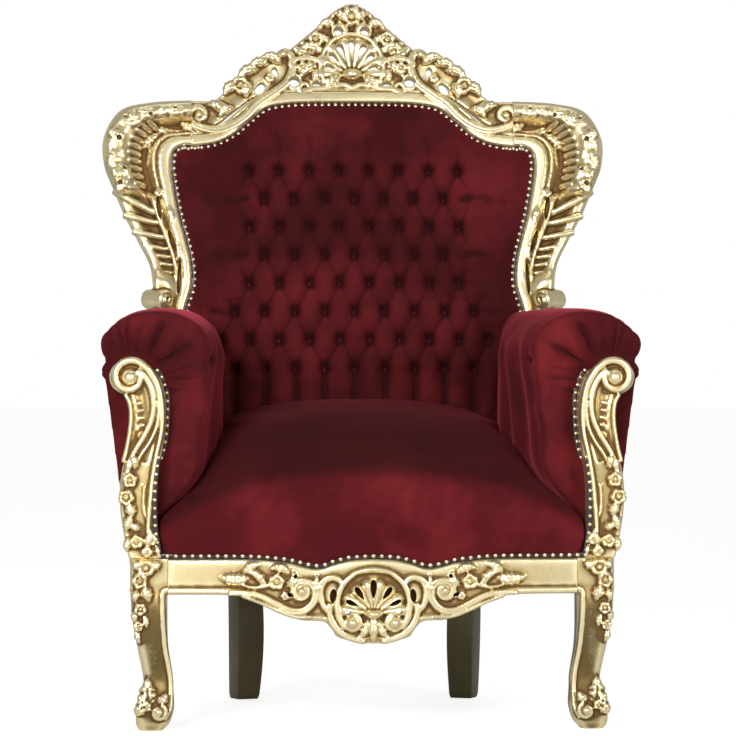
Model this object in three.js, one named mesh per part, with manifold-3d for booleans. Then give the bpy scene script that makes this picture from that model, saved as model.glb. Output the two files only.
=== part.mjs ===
// A carved and gilded baroque throne: an upholstered armchair with a pierced shell crest, winged back frame,
// scrolled arm posts, short cabriole legs and a shell apron. Millimetres, +Z up, the front faces -Y.

import * as THREE from "three";
import { mergeVertices } from "three/addons/utils/BufferGeometryUtils.js";
import Module from "manifold-3d";

const wasm = await Module();
wasm.setup();

// Seat frame
const legHeight = 224; // floor to the underside of the seat rails
const railHeight = 59; // seat rails, bottom to top
const railThick = 30; // front and side rails, front to back or side to side
const backRailThick = 47; // back rail, which also carries the feet of the back frame
const legSpan = 732; // between the middles of the front legs
const legWidth = 61; // head of a front leg, side to side
const legDepth = 64; // head of a front leg, front to back
const frameDepth = 592; // front of the legs to the rear of the back rail
const backRailLength = 490;
const backLegSpan = 393; // between the middles of the back legs
const backLegWidth = 56; // section of a back leg, side to side
const backLegDepth = 50; // section of a back leg, front to back
const backLegKick = 34; // how far a back leg's foot sweeps back
const apronDrop = 80; // how far the apron's shell hangs below the rails
const apronBow = 14; // how far the apron bows forward at its middle

// Arms
const scrollHeight = 580; // floor to the eye of an arm post's scroll
const scrollReach = 29; // how far that eye stands out from the middle of the leg
const scrollRadius = 33;
const postDepth = 42; // arm post, front to back
const padHeight = 692; // floor to the top of the arm pads
const padWide = 184; // arm roll, side to side
const padThick = 124; // arm roll, top to bottom
const padFlare = 0.88; // where the plain outer side meets the roll, as a share of the roll's half width
const padSlim = 0.5; // what the inner half of the roll loses towards the back, as a share
const padTail = 60; // how far the arm pads run back beside the stiles, past the front of the back rail

// Back
const rake = THREE.MathUtils.degToRad(9); // how far the back leans
const panelHalf = 325; // half the width of the upholstered panel at its shoulders
const panelTop = 1080; // along the lean, from floor level to the top of the panel
const crestRise = 184; // along the lean, from the top of the panel to the tip of the crest
const wingWidth = 124; // carved band at the wings, inner edge to outer edge
const mouldWidth = 27; // plain moulding that frames the panel
const frameThick = 46; // back frame, front to back
const plateThick = 26; // pierced crest plate, front to back
const wingReach = 34; // how far the wings come forward of the middle of the back
const buttonPitch = 53.4; // tufting buttons, side to side
const buttonRow = 51; // between two rows of buttons
const tuftDepth = 15; // how deep the buttons are pulled in
const cushionCrown = 34; // how far the back cushion's middle stands out of its frame
const cushionDeep = 21.5; // how far the back cushion is let into its frame

// Seat
const seatCrown = 522; // floor to the top of the seat
const seatBulge = 15; // how far the seat's front swells past the rail
const seatDome = 105; // how far the top falls from the middle to the arms, at the front

const gap = 0.35; // clearance between pieces that touch
const fade = (x, from, to) => THREE.MathUtils.smoothstep(x, from, to);
const mix = THREE.MathUtils.lerp;

const railTop = legHeight + railHeight;
const frontHalf = legSpan / 2;
const legInner = frontHalf - legWidth / 2;
const backRailFront = frameDepth - backRailThick;
const panelFoot = (railTop + gap) / Math.cos(rake) + 2;
const panelTall = panelTop - panelFoot;
const backPlaneY = frameDepth - frameThick - railTop * Math.sin(rake) + 3;
const jointX = 0.89 * panelHalf; // where the crest rail meets a wing
const wingHalf = panelHalf + wingWidth;

// Materials
const gilt = new THREE.MeshStandardMaterial({ color: 0xd8b75a, roughness: 0.35, metalness: 0.85 });
const velvet = new THREE.MeshStandardMaterial({ color: 0x5c1119, roughness: 0.9, metalness: 0 });
const darkPaint = new THREE.MeshStandardMaterial({ color: 0x3a3220, roughness: 0.5, metalness: 0.2 });

// Faces that carving lies on: x across, up along the face, out towards the sitter's side
function backFace(x, up, out) {
  const lift = out + wingReach * (x / wingHalf) ** 2;
  return new THREE.Vector3(
    x,
    backPlaneY + up * Math.sin(rake) - lift * Math.cos(rake),
    up * Math.cos(rake) + lift * Math.sin(rake),
  );
}

function frontFace(x, up, out) {
  return new THREE.Vector3(x, -out - apronBow * (1 - (x / frontHalf) ** 2), up);
}

const range = (count, make) => Array.from({ length: count }, (_, i) => make(i));
const mirrored = (points) => [
  ...points,
  ...points.slice(0, -1).reverse().map(([x, up]) => [-x, up]),
];

// A smooth curve through hand-placed points, as [x, up] pairs
function smooth(points, steps) {
  const spline = new THREE.SplineCurve(points.map(([x, up]) => new THREE.Vector2(x, up)));
  return range(steps + 1, (i) => spline.getPoint(i / steps).toArray());
}

// A spiral from one radius to another about an eye
function volute(x, up, from, to, start, turns, steps) {
  return range(steps + 1, (i) => {
    const angle = start + (turns * 2 * Math.PI * i) / steps;
    const radius = mix(from, to, i / steps);
    return [x + radius * Math.cos(angle), up + radius * Math.sin(angle)];
  });
}

// A closed body through rings of points, each ring one cross-section
function loft(sections) {
  const middle = (ring) =>
    ring.reduce((sum, p) => sum.add(p), new THREE.Vector3()).divideScalar(ring.length);
  const facing = (ring) => {
    const normal = new THREE.Vector3();
    ring.forEach((p, i) => normal.add(new THREE.Vector3().crossVectors(p, ring[(i + 1) % ring.length])));
    return normal.normalize();
  };
  const along = middle(sections[1]).sub(middle(sections[0]));
  const rings = facing(sections[0]).dot(along) < 0
    ? sections.map((ring) => [...ring].reverse())
    : sections;
  const count = rings[0].length;
  const triangles = [];
  for (let i = 0; i + 1 < rings.length; i++)
    for (let j = 0; j < count; j++) {
      const a = i * count + j;
      const b = i * count + ((j + 1) % count);
      triangles.push(a, b, b + count, a, b + count, a + count);
    }
  for (const end of [0, rings.length - 1]) {
    const ring = rings[end];
    const normal = facing(ring);
    const across = new THREE.Vector3().subVectors(ring[1], ring[0]).normalize();
    const upward = new THREE.Vector3().crossVectors(normal, across);
    const flat = ring.map((p) => new THREE.Vector2(p.dot(across), p.dot(upward)));
    for (const [a, b, c] of THREE.ShapeUtils.triangulateShape(flat, [])) {
      const turn = new THREE.Vector2().subVectors(flat[b], flat[a])
        .cross(new THREE.Vector2().subVectors(flat[c], flat[a]));
      const [p, q, r] = turn < 0 === (end === 0) ? [a, b, c] : [a, c, b];
      triangles.push(end * count + p, end * count + q, end * count + r);
    }
  }
  return new THREE.BufferGeometry().setFromPoints(rings.flat()).setIndex(triangles);
}

function solid(geometry) {
  const bare = new THREE.BufferGeometry()
    .setAttribute("position", geometry.getAttribute("position"))
    .setIndex(geometry.index);
  const merged = mergeVertices(bare, 1e-4);
  return new wasm.Manifold(new wasm.Mesh({
    numProp: 3,
    vertProperties: merged.attributes.position.array,
    triVerts: new Uint32Array(merged.index.array),
  }));
}

const join = (solids) => solids.reduce((sum, next) => sum.add(next));
const mirrorX = (made) => made.mirror([1, 0, 0]);

// A strip between two lines of matched points, with a moulded section: [share of the width, height] pairs
function band(face, inner, outer, section, steps) {
  const near = new THREE.SplineCurve(inner.map(([x, up]) => new THREE.Vector2(x, up)));
  const far = new THREE.SplineCurve(outer.map(([x, up]) => new THREE.Vector2(x, up)));
  return solid(loft(range(steps + 1, (i) => {
    const p = near.getPoint(i / steps);
    const q = far.getPoint(i / steps);
    return section(i / steps).map(([share, out]) =>
      face(mix(p.x, q.x, share), mix(p.y, q.y, share), out));
  })));
}

// A carved rib that follows a path on a face; its width and height change along it
function rib(face, path, width, height, out, sides = 4) {
  const last = path.length - 1;
  return solid(loft(path.map(([x, up], i) => {
    const [ax, au] = path[Math.max(i - 1, 0)];
    const [bx, bu] = path[Math.min(i + 1, last)];
    const length = Math.hypot(bx - ax, bu - au);
    return range(sides, (j) => {
      const angle = (2 * Math.PI * j) / sides + Math.PI / 2;
      const side = (width(i / last) * Math.cos(angle)) / length;
      return face(x - (bu - au) * side, up + (bx - ax) * side, out + height(i / last) * Math.sin(angle));
    });
  })));
}

const swell = (most, least = 0.8) => (t) => least + (most - least) * Math.sin(Math.PI * Math.sqrt(t));
const taper = (from, to) => (t) => mix(from, to, t);

// A pointed leaf with a ridge down its middle
function leaf(face, from, to, width, height, bend = 0, out = 0) {
  const [ax, au] = from;
  const [bx, bu] = to;
  const middle = [(ax + bx) / 2 - (bu - au) * bend, (au + bu) / 2 + (bx - ax) * bend];
  return rib(face, smooth([from, middle, to], 3), swell(width), swell(height), out);
}

// An open flower: lobed petals round a raised eye
function flower(face, x, up, radius, height, petals = 5) {
  const ring = (share, out, lobe) => range(petals * 2, (i) => {
    const angle = (2 * Math.PI * i) / (petals * 2);
    const reach = radius * share * (1 + lobe * Math.cos(petals * angle));
    return face(x + reach * Math.cos(angle), up + reach * Math.sin(angle), out);
  });
  return solid(loft([ring(0.9, -3, 0.18), ring(0.5, height, 0.1)]));
}

// A scallop shell: ridges fan out from its hinge, with hollows between them
function shell(face, x, up, radius, ridges, spread, height, thick) {
  return solid(loft(range(2 * ridges + 1, (i) => {
    const angle = Math.PI / 2 + spread * (0.5 - i / (2 * ridges));
    const high = i % 2 === 1;
    const at = (share, out) =>
      face(x + share * radius * Math.cos(angle), up + share * radius * Math.sin(angle), out);
    return [at(0.12, height / 2), at(0.62, high ? height : 2), at(high ? 1 : 0.9, high ? height / 2 : -2),
      at(high ? 0.98 : 0.88, -thick), at(0.12, -thick)];
  })));
}

// An oval piercing through a plate
function piercing(face, x, up, wide, tall, turn = 0, sides = 6) {
  const ring = (out) => range(sides, (i) => {
    const angle = (2 * Math.PI * i) / sides;
    const across = wide * Math.cos(angle);
    const along = tall * Math.sin(angle);
    return face(x + across * Math.cos(turn) - along * Math.sin(turn),
      up + across * Math.sin(turn) + along * Math.cos(turn), out);
  });
  return solid(loft([ring(-plateThick * 3), ring(plateThick * 3)]));
}

// Narrow slots through the hollows of a shell
const shellSlots = (face, up, radius) => [-0.85, -0.43, 0, 0.43, 0.85].map((lean) =>
  piercing(face, 0.7 * radius * Math.sin(lean), up + 0.7 * radius * Math.cos(lean),
    0.1 * radius, 0.26 * radius, -lean, 4));

// Back frame lines: shares of the panel's half width and height, then of the wing's width
const stileLine = [
  [0.585, 0.0, 0.43, 0.0],
  [0.683, 0.139, 0.43, -0.03],
  [0.825, 0.291, 0.44, -0.06],
  [0.923, 0.418, 0.43, -0.06],
  [0.932, 0.506, 0.44, 0.0],
  [0.889, 0.576, 0.56, -0.02],
  [0.895, 0.633, 0.61, -0.04],
  [0.923, 0.684, 0.69, -0.03],
  [0.96, 0.741, 0.8, -0.02],
  [0.985, 0.797, 0.88, -0.04],
  [1.0, 0.848, 0.975, 0.0],
  [0.988, 0.881, 1.01, 0.19],
  [0.945, 0.894, 0.89, 0.5],
  [0.892, 0.896, 0.6, 0.62],
  [0.85, 0.8965, 0.2, 0.66],
  [0.818, 0.898, -0.1, 0.66],
];
const archLine = [
  [0.95, 0.8945, 0.0, 1.0],
  [0.818, 0.898, 0.2, 0.98],
  [0.735, 0.906, 0.42, 0.92],
  [0.652, 0.925, 0.62, 0.82],
  [0.569, 0.956, 0.66, 0.78],
  [0.486, 0.984, 0.46, 0.88],
  [0.403, 0.994, 0.22, 0.96],
  [0.265, 0.999, 0.06, 1.0],
  [0.0, 1.0, 0.0, 1.0],
];
const innerPoint = ([x, up]) => [x * panelHalf, panelFoot + up * panelTall];
const outerPoint = ([x, up, dx, du], width) => [x * panelHalf + dx * width, panelFoot + up * panelTall + du * width];

// Crest outline: shares of the half width at the joint, and of the height above the arch
const crestTop = panelTop + crestRise;
const crestLine = [
  [1.03, 0.0], [0.95, 0.005], [0.865, 0.01], [0.82, 0.06], [0.77, 0.158], [0.69, 0.288], [0.615, 0.386],
  [0.55, 0.467], [0.49, 0.495], [0.43, 0.478], [0.376, 0.554], [0.3, 0.652], [0.228, 0.755],
  [0.165, 0.853], [0.083, 0.95], [0.0, 1.0],
];
const crestFoot = [0.012, 0.02, 0.03, 0.06, 0.12, 0.21, 0.31, 0.38, 0.425, 0.45, 0.46, 0.465, 0.47, 0.47, 0.47, 0.47];
const crestPoint = (share, rise) => [share * jointX, panelTop + rise * crestRise];

function stile() {
  const inner = stileLine.map(innerPoint);
  const outer = stileLine.map((row) => outerPoint(row, wingWidth));
  const section = (t) => {
    const carved = fade(t, 0.32, 0.45); // plain below the arms, a deep cove in the wing
    return [
      [0, 8], [mix(0.5, 0.26, carved), 9], [mix(0.56, 0.4, carved), mix(4, -8, carved)],
      [mix(0.8, 0.66, carved), mix(6, -2, carved)], [mix(0.88, 0.78, carved), mix(7, 24, carved)],
      [mix(0.96, 0.93, carved), mix(7, 24, carved)], [1, mix(0, 4, carved)], [0.97, -frameThick], [0, -frameThick],
    ];
  };
  const wing = (share, along) => {
    const line = (points) => new THREE.SplineCurve(points.map(([x, up]) => new THREE.Vector2(x, up)));
    return line(inner).getPoint(along).lerp(line(outer).getPoint(along), share).toArray();
  };
  const comb = range(3, (i) => {
    const along = 0.68 + 0.065 * i;
    return rib(backFace, [wing(0.46, along - 0.008), wing(0.78, along + 0.004)], taper(4, 6), taper(5, 9), 5);
  });
  const fringe = range(3, (i) => {
    const along = 0.43 + 0.075 * i;
    return rib(backFace, [wing(0.5, along), wing(0.8, along + 0.012), wing(1.03, along + 0.008)],
      taper(4, 8), taper(6, 8), 16);
  });
  const leaves = [
    leaf(backFace, wing(0.84, 0.64), wing(0.98, 0.71), 13, 12, 0.1, 22),
  ];
  const [knobX, knobUp] = wing(0.8, 0.352);
  const knob = rib(backFace, [-0.13, 0.08, 0.18].map((share) => [knobX + share * wingWidth, knobUp - 0.1 * share * wingWidth]),
    swell(20, 12), swell(18, 10), -4, 8);
  const whole = join([band(backFace, inner, outer, section, stileLine.length - 1), ...comb, ...fringe, ...leaves, knob]);
  const shoulder = new THREE.BoxGeometry(2 * jointX + gap, frameDepth, crestTop);
  shoulder.translate(0, frameDepth, (panelTop - crestRise) * Math.cos(rake) + crestTop / 2);
  return whole.subtract(solid(shoulder)).trimByPlane([0, 0, 1], railTop + gap);
}

// The shell in the middle of the crest, its ribs and the piercings between them
const shellUp = panelTop + 0.3 * crestRise;
const shellRadius = 0.36 * crestRise;

function crest() {
  const arch = mirrored(archLine.map(innerPoint));
  const archOuter = mirrored(archLine.map((row) => outerPoint(row, mouldWidth)));
  const moulding = band(backFace, arch, archOuter, () => [
    [0, 8], [0.9, 9], [1.3, 2], [1.3, -frameThick], [0, -frameThick],
  ], arch.length - 1);
  const top = mirrored(crestLine.map(([share, rise]) => crestPoint(share, rise)));
  const foot = mirrored(crestLine.map(([share], i) =>
    crestPoint(share, (crestFoot[i] - 0.47) * 0.92 + 0.1)));
  const plate = band(backFace, foot, top, () => [
    [0, 1], [1, 2], [1, -plateThick], [0, -plateThick],
  ], 18);
  const eyes = [-1, 1].flatMap((side) => [
    piercing(backFace, ...crestPoint(side * 0.083, 0.712), 6.5, 6.5),
    piercing(backFace, ...crestPoint(side * 0.36, 0.21), 9, 8),
    piercing(backFace, ...crestPoint(side * 0.57, 0.15), 6, 11, side * 0.5),
  ]);
  const boss = rib(backFace, [-0.26, -0.11, 0.12, 0.26].map((share) => [share * shellRadius, shellUp - 0.04 * shellRadius]),
    swell(11, 5), swell(13, 6), 4, 6);
  const half = [
    // The long scroll that runs from the crest's shoulder down into the wing
    rib(backFace, smooth([crestPoint(0.47, 0.36), crestPoint(0.44, 0.47), crestPoint(0.39, 0.5),
      crestPoint(0.36, 0.4), crestPoint(0.4, 0.22), crestPoint(0.5, 0.1), crestPoint(0.62, -0.03),
      crestPoint(0.72, -0.16), crestPoint(0.84, -0.24), crestPoint(0.95, -0.18), crestPoint(1.0, -0.06),
      crestPoint(0.95, 0.01)], 8), (t) => 4 + 4 * Math.sin(Math.PI * t), () => 9, 3),
    leaf(backFace, crestPoint(0.2, 0.333), crestPoint(0.388, 0.43), 12, 11, 0.18, 2),
    leaf(backFace, crestPoint(0.055, 0.224), crestPoint(0.29, 0.224), 11, 12, 0.14, 1),
    leaf(backFace, crestPoint(0.82, -0.02), crestPoint(0.66, 0.26), 12, 11, -0.16, 2),
    flower(backFace, ...crestPoint(0.228, 0.637), 15, 12),
    flower(backFace, ...crestPoint(0.69, 0.14), 16, 12),
  ];
  const pierced = [...shellSlots(backFace, shellUp, shellRadius), ...eyes].reduce(
    (left, hole) => left.subtract(hole),
    plate.add(shell(backFace, 0, shellUp, shellRadius, 8, 3.3, 11, plateThick / 2)),
  );
  const whole = join([
    moulding,
    pierced,
    boss,
    flower(backFace, ...crestPoint(0, 0.87), 17, 14, 6),
    ...half,
    ...half.map(mirrorX),
  ]);
  return whole.trimByPlane([-1, 0, 0], -jointX + gap / 2).trimByPlane([1, 0, 0], -jointX + gap / 2);
}

// Apron lines on the front rail: x as a share of the rail's half length, up from the rail's underside
const railHalf = legInner - gap;
const apronTop = [[1.0, 1.0], [0.78, 1.0], [0.57, 1.0], [0.4, 0.9], [0.285, 0.74], [0.2, 0.86], [0.1, 0.97], [0.0, 1.0]];
const apronFoot = [[1.0, 0.0], [0.82, 0.0], [0.64, 0.0], [0.5, -0.26], [0.355, -0.52], [0.235, -0.57], [0.165, -0.86], [0.0, -1.0]];
const apronLine = (line, reach) =>
  mirrored(line.map(([share, rise]) => [share * railHalf, legHeight + rise * reach]));

function frontRail() {
  const top = apronLine(apronTop, railHeight);
  const foot = apronLine(apronFoot, apronDrop);
  const board = band(frontFace, top, foot, () => [
    [0, 4], [0.82, 2], [0.9, 8], [1, -railThick], [0, -railThick],
  ], top.length - 1);
  const eyeUp = legHeight - 0.38 * apronDrop;
  const radius = 0.56 * apronDrop;
  const at = (share, rise) => [share * railHalf, eyeUp + rise * apronDrop];
  const half = [
    // The ring scroll beside the shell
    rib(frontFace, smooth([at(0.06, -0.5), at(0.143, -0.45), at(0.203, -0.175), at(0.22, 0.2), at(0.19, 0.525),
      at(0.143, 0.5), at(0.131, 0.25)], 6), (t) => 5 + 2 * Math.sin(Math.PI * t), () => 10, 4),
    // The long scroll that curls back on itself along the apron
    rib(frontFace, smooth([at(0.615, 0.43), at(0.5, 0.225), at(0.4, 0.075), at(0.316, 0.15), at(0.287, 0.425),
      at(0.322, 0.625), at(0.376, 0.575), at(0.388, 0.4)], 6), taper(5, 4), taper(9, 7), 3),
    leaf(frontFace, at(0.436, 0.35), at(0.573, 0.525), 10, 10, 0.2, 2),
    leaf(frontFace, at(0.555, 0.68), at(0.752, 0.805), 12, 9, -0.12, 2),
    flower(frontFace, ...at(0.513, 0.65), 13, 11),
  ];
  return join([
    shellSlots(frontFace, eyeUp, radius).reduce((left, hole) => left.subtract(hole),
      board.add(shell(frontFace, 0, eyeUp, radius, 8, 3.3, 14, railThick / 2))),
    rib(frontFace, [-0.36, -0.16, 0.16, 0.36].map((share) => [share * radius, eyeUp - 0.12 * radius]),
      swell(10, 5), swell(13, 6), 6, 6),
    ...half,
    ...half.map(mirrorX),
  ]);
}

// A section with cut corners, for legs and posts
function chamfered(left, right, front, rear, cut, up) {
  return [
    [left + cut, front], [right - cut, front], [right, front + cut], [right, rear - cut],
    [right - cut, rear], [left + cut, rear], [left, rear - cut], [left, front + cut],
  ].map(([x, y]) => new THREE.Vector3(x, y, up));
}

// Right front leg: share of the leg's height, then x of its middle and half width, y of its middle and half depth,
// as shares of the head's width and depth
const cabriole = [
  [0.0, -0.08, 0.33, 0.44, 0.34],
  [0.05, 0.0, 0.4, 0.36, 0.46],
  [0.13, -0.12, 0.47, 0.33, 0.5],
  [0.21, -0.17, 0.47, 0.4, 0.44],
  [0.36, -0.25, 0.4, 0.5, 0.36],
  [0.55, -0.13, 0.4, 0.46, 0.39],
  [0.74, -0.03, 0.45, 0.4, 0.45],
  [0.88, 0.0, 0.49, 0.4, 0.5],
  [0.97, 0.0, 0.5, 0.4, 0.5],
];

const legX = (share) => frontHalf + share * legWidth;

function frontLeg() {
  const stations = [...cabriole, [railTop / legHeight, 0, 0.5, 0.4, 0.5]];
  const shaft = solid(loft(stations.map(([share, x, half, y, deep]) => chamfered(
    legX(x - half), legX(x + half),
    (y - deep) * legDepth, (y + deep) * legDepth, 0.16 * legWidth, share * legHeight))));
  const knee = (x, up, out) => new THREE.Vector3(x, (0.4 - 0.5) * legDepth - out, up);
  const carving = [
    flower(knee, legX(0.2), legHeight + 0.62 * railHeight, 15, 12),
    leaf(knee, [legX(0.3), 1.04 * legHeight], [legX(0.33), 0.68 * legHeight], 9, 10, 0.1, 0),
    // The scrolled toe and the leaf that laps it
    rib(knee, volute(legX(-0.03), 0.115 * legHeight, 17, 8, -1.6, 0.75, 5), taper(6, 4), taper(9, 6), 4),
    leaf(knee, [legX(0.07), 0.13 * legHeight], [legX(0), 0.36 * legHeight], 13, 14, 0.12, -4),
    leaf(knee, [legX(0.2), 0.1 * legHeight], [legX(0.36), 0.24 * legHeight], 8, 10, 0.12, -3),
  ];
  return join([shaft, ...carving]).trimByPlane([0, 0, 1], 0).trimByPlane([0, 0, -1], -railTop);
}

// Right arm post: share of the way from the leg to the scroll's eye, middle and half width as shares of the head
const postLine = [
  [0.0, 0.1, 0.47], [0.2, 0.28, 0.48], [0.38, 0.26, 0.5], [0.52, 0.14, 0.48], [0.68, 0.0, 0.48],
  [0.84, 0.04, 0.47], [0.94, 0.14, 0.46], [1.02, 0.26, 0.4], [1.07, 0.38, 0.22],
];
const postFoot = railTop + gap;
const postFront = -0.1 * legDepth;

function armPost() {
  const tall = scrollHeight - postFoot;
  const eyeX = frontHalf + scrollReach;
  const post = solid(loft(postLine.map(([share, x, half]) => chamfered(
    legX(x - half), legX(x + half),
    postFront, postFront + postDepth, 0.1 * legWidth, postFoot + share * tall))));
  const front = (x, up, out) => new THREE.Vector3(x, postFront - out, up);
  const eye = range(12, (i) => (2 * Math.PI * i) / 12);
  const disc = (radius, out) => eye.map((angle) =>
    front(eyeX + radius * Math.cos(angle), scrollHeight + 0.88 * radius * Math.sin(angle), out));
  const scroll = solid(loft([disc(scrollRadius, -postDepth), disc(scrollRadius, 0), disc(0.84 * scrollRadius, 4)]));
  const sweep = smooth([[legX(-0.03), postFoot + 0.3 * tall], [legX(-0.2), postFoot + 0.5 * tall],
    [legX(-0.33), postFoot + 0.72 * tall], [legX(-0.23), postFoot + 0.92 * tall],
    [eyeX - 0.73 * scrollRadius, scrollHeight + 0.48 * scrollRadius]], 4);
  const curl = volute(eyeX, scrollHeight, 0.82 * scrollRadius, 0.3 * scrollRadius, 2.5, -1.05, 8);
  const carving = [
    rib(front, [...sweep, ...curl], (t) => 6 - 2.5 * t, (t) => 9 - 2 * t, 1),
    flower(front, legX(0.39), postFoot + 0.16 * tall, 12, 11),
  ];
  return join([post, scroll, ...carving]).trimByPlane([0, 0, 1], postFoot);
}

// Plan of the side rails, and what stands on them
const sideX = (y) => mix(frontHalf + 0.5 * legWidth, backRailLength / 2 + 2, (y - legDepth) / (backRailFront - legDepth));

function sideRail() {
  const section = (y) => [
    [0, 0], [0, 0.1], [-3, 0.18], [-3, 0.7], [0, 0.8], [0, 1], [-railThick, 1], [-railThick, 0],
  ].map(([inset, share]) => new THREE.Vector3(sideX(y) + inset, y, legHeight + share * railHeight));
  return solid(loft([section(0.9 * legDepth + gap), section(backRailFront - gap)]));
}

function backRail() {
  const made = new THREE.BoxGeometry(backRailLength, backRailThick, railHeight);
  made.translate(0, backRailFront + backRailThick / 2, legHeight + railHeight / 2);
  return solid(made);
}

// Right back leg: plain, square, swept back to the floor
function backLeg() {
  const top = legHeight - gap;
  return solid(loft([0, 0.25, 0.5, 0.75, 1].map((share) => {
    const sweep = backLegKick * (1 - share) ** 2 - 8 * Math.sin(Math.PI * share);
    const slim = 1 - 0.06 * Math.sin(Math.PI * share);
    const middle = backRailFront + backRailThick / 2 + sweep;
    return chamfered(backLegSpan / 2 - (slim * backLegWidth) / 2, backLegSpan / 2 + (slim * backLegWidth) / 2,
      middle - backLegDepth / 2, middle + backLegDepth / 2, 0.1 * backLegWidth, share * top);
  })));
}

// Upholstered panel between the stiles: tufted in front, with a plain outer back behind it
const panelLine = stileLine.slice(0, -1).concat(archLine.slice(1));
const panelShape = (inset) => {
  const right = panelLine.map(innerPoint).map(([x, up]) => [Math.max(x - inset, 0), up - 0.6 * inset]);
  right[0][1] = panelFoot;
  return mirrored(right);
};

function panelPrism(front, rear) {
  const shape = panelShape(gap);
  const ring = (out) => shape.map(([x, up]) => backFace(x, up, out));
  return solid(loft([ring(rear), ring(front)]));
}

// Height of the padding: crowned, drawn down at each button, flat at the frame
function padding(x, up) {
  const across = Math.min(1, Math.abs(x) / (0.93 * panelHalf));
  const along = Math.min(1, Math.max(0, (up - panelFoot) / panelTall));
  const crown = cushionCrown * (1 - across ** 2) * Math.min(1, 6 * (1 - along) + 0.1);
  return 4 + crown;
}

function backCushion() {
  const columns = 2 * Math.round((0.96 * panelHalf) / (buttonPitch / 2));
  const topButton = panelTop - 0.167 * panelTall;
  const buttoned = range(9, (j) => topButton - buttonRow * j);
  const above = [3, 1].map((rows) => topButton + buttonRow * rows);
  const rings = [...above, ...buttoned, mix(buttoned[8], panelFoot, 0.5), panelFoot - buttonRow].map((up, j) => {
    const front = range(columns + 1, (i) => {
      const x = (i - columns / 2) * (buttonPitch / 2);
      const row = j - above.length;
      const inField = row >= 0 && row <= 7 && Math.abs(x) < (row > 4 ? 4.6 : 3.8) * buttonPitch;
      const pulled = inField && Math.abs(Math.round((2 * x) / buttonPitch) + row) % 2 === 1;
      return backFace(x, up, padding(x, up) - (pulled ? tuftDepth : 0));
    });
    const edge = (0.96 * panelHalf) + buttonPitch / 2;
    return [backFace(-edge, up, 4), ...front, backFace(edge, up, 4), backFace(edge, up, -cushionDeep - 0.5),
      backFace(-edge, up, -cushionDeep - 0.5)];
  });
  return solid(loft(rings)).intersect(panelPrism(2 * cushionCrown, -cushionDeep)).trimByPlane([0, 0, 1], railTop + gap);
}

function outerBack() {
  return panelPrism(-cushionDeep - 0.5, -frameThick - 4).trimByPlane([0, 0, 1], railTop + gap);
}

// Arm: a fat roll on a padded side, standing on the side rail. Sections run from the post to the stile.
const armFront = postFront + postDepth + gap;
const armRear = backRailFront + padTail;
const rollX = (s) => mix(frontHalf - 14, 0.93 * panelHalf - 8, s);
const rollHalf = (s) => (padWide / 2) * mix(1, 0.84, s);
const rollInside = (s) => rollHalf(s) * (1 - padSlim * THREE.MathUtils.smoothstep(s, 0.45, 1));
const rollUp = padHeight - padThick / 2;
const footX = (s) => sideX(mix(armFront, armRear, s)) - 3;
const lip = rollUp - 0.44 * padThick; // where the roll turns under, above the plain outer side
const outerX = (s, up) => mix(footX(s), rollX(s) + padFlare * rollHalf(s), (up - railTop) / (lip - railTop));

function armPad(ease) {
  const stations = [0, 0.02, 0.08, 0.45, 0.72, 1];
  const drawn = [0.9, 0.97, 1, 1, 1, 1];
  const made = solid(loft(stations.map((s, i) => {
    const y = mix(armFront, armRear, s);
    const half = rollHalf(s) * drawn[i];
    const tall = (padThick / 2) * drawn[i];
    const innerFoot = footX(s) - railThick - 8;
    const inside = rollInside(s) * drawn[i];
    const innerRoll = rollX(s) - inside;
    const roll = [180, 146, 112, 80, 48, 16, -18].map((turn) => {
      const angle = THREE.MathUtils.degToRad(turn);
      return [rollX(s) + (turn > 90 ? inside : half) * Math.cos(angle), rollUp + tall * Math.sin(angle)];
    });
    const inner = [[0, 0], [0.17, 0.22], [0.56, 0.37], [0.82, 0.55], [0.9, 0.9]].map(([lean, rise]) =>
      [mix(innerFoot, innerRoll, lean), mix(railTop + gap, lip, rise)]);
    const section = [...inner.map(([x, up]) => [x - ease, up]), ...roll,
      [outerX(s, lip) + 6, lip], [outerX(s, lip), lip - 6], [footX(s), railTop + gap]];
    return section.map(([x, up]) => new THREE.Vector3(x, y, up));
  })));
  // The rear end lies on the stile and on the back cushion
  const [a, b, c] = [[0.58, 36, 0], [1.09, 32, 0], [0.58, 36, 1]].map(([share, out, rise]) =>
    backFace(share * panelHalf, panelFoot + rise * panelTall, out - wingReach * ((share * panelHalf) / wingHalf) ** 2));
  const normal = new THREE.Vector3().crossVectors(b.clone().sub(a), c.clone().sub(a)).normalize();
  return made.trimByPlane(normal.toArray(), normal.dot(a) + gap);
}

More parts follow.
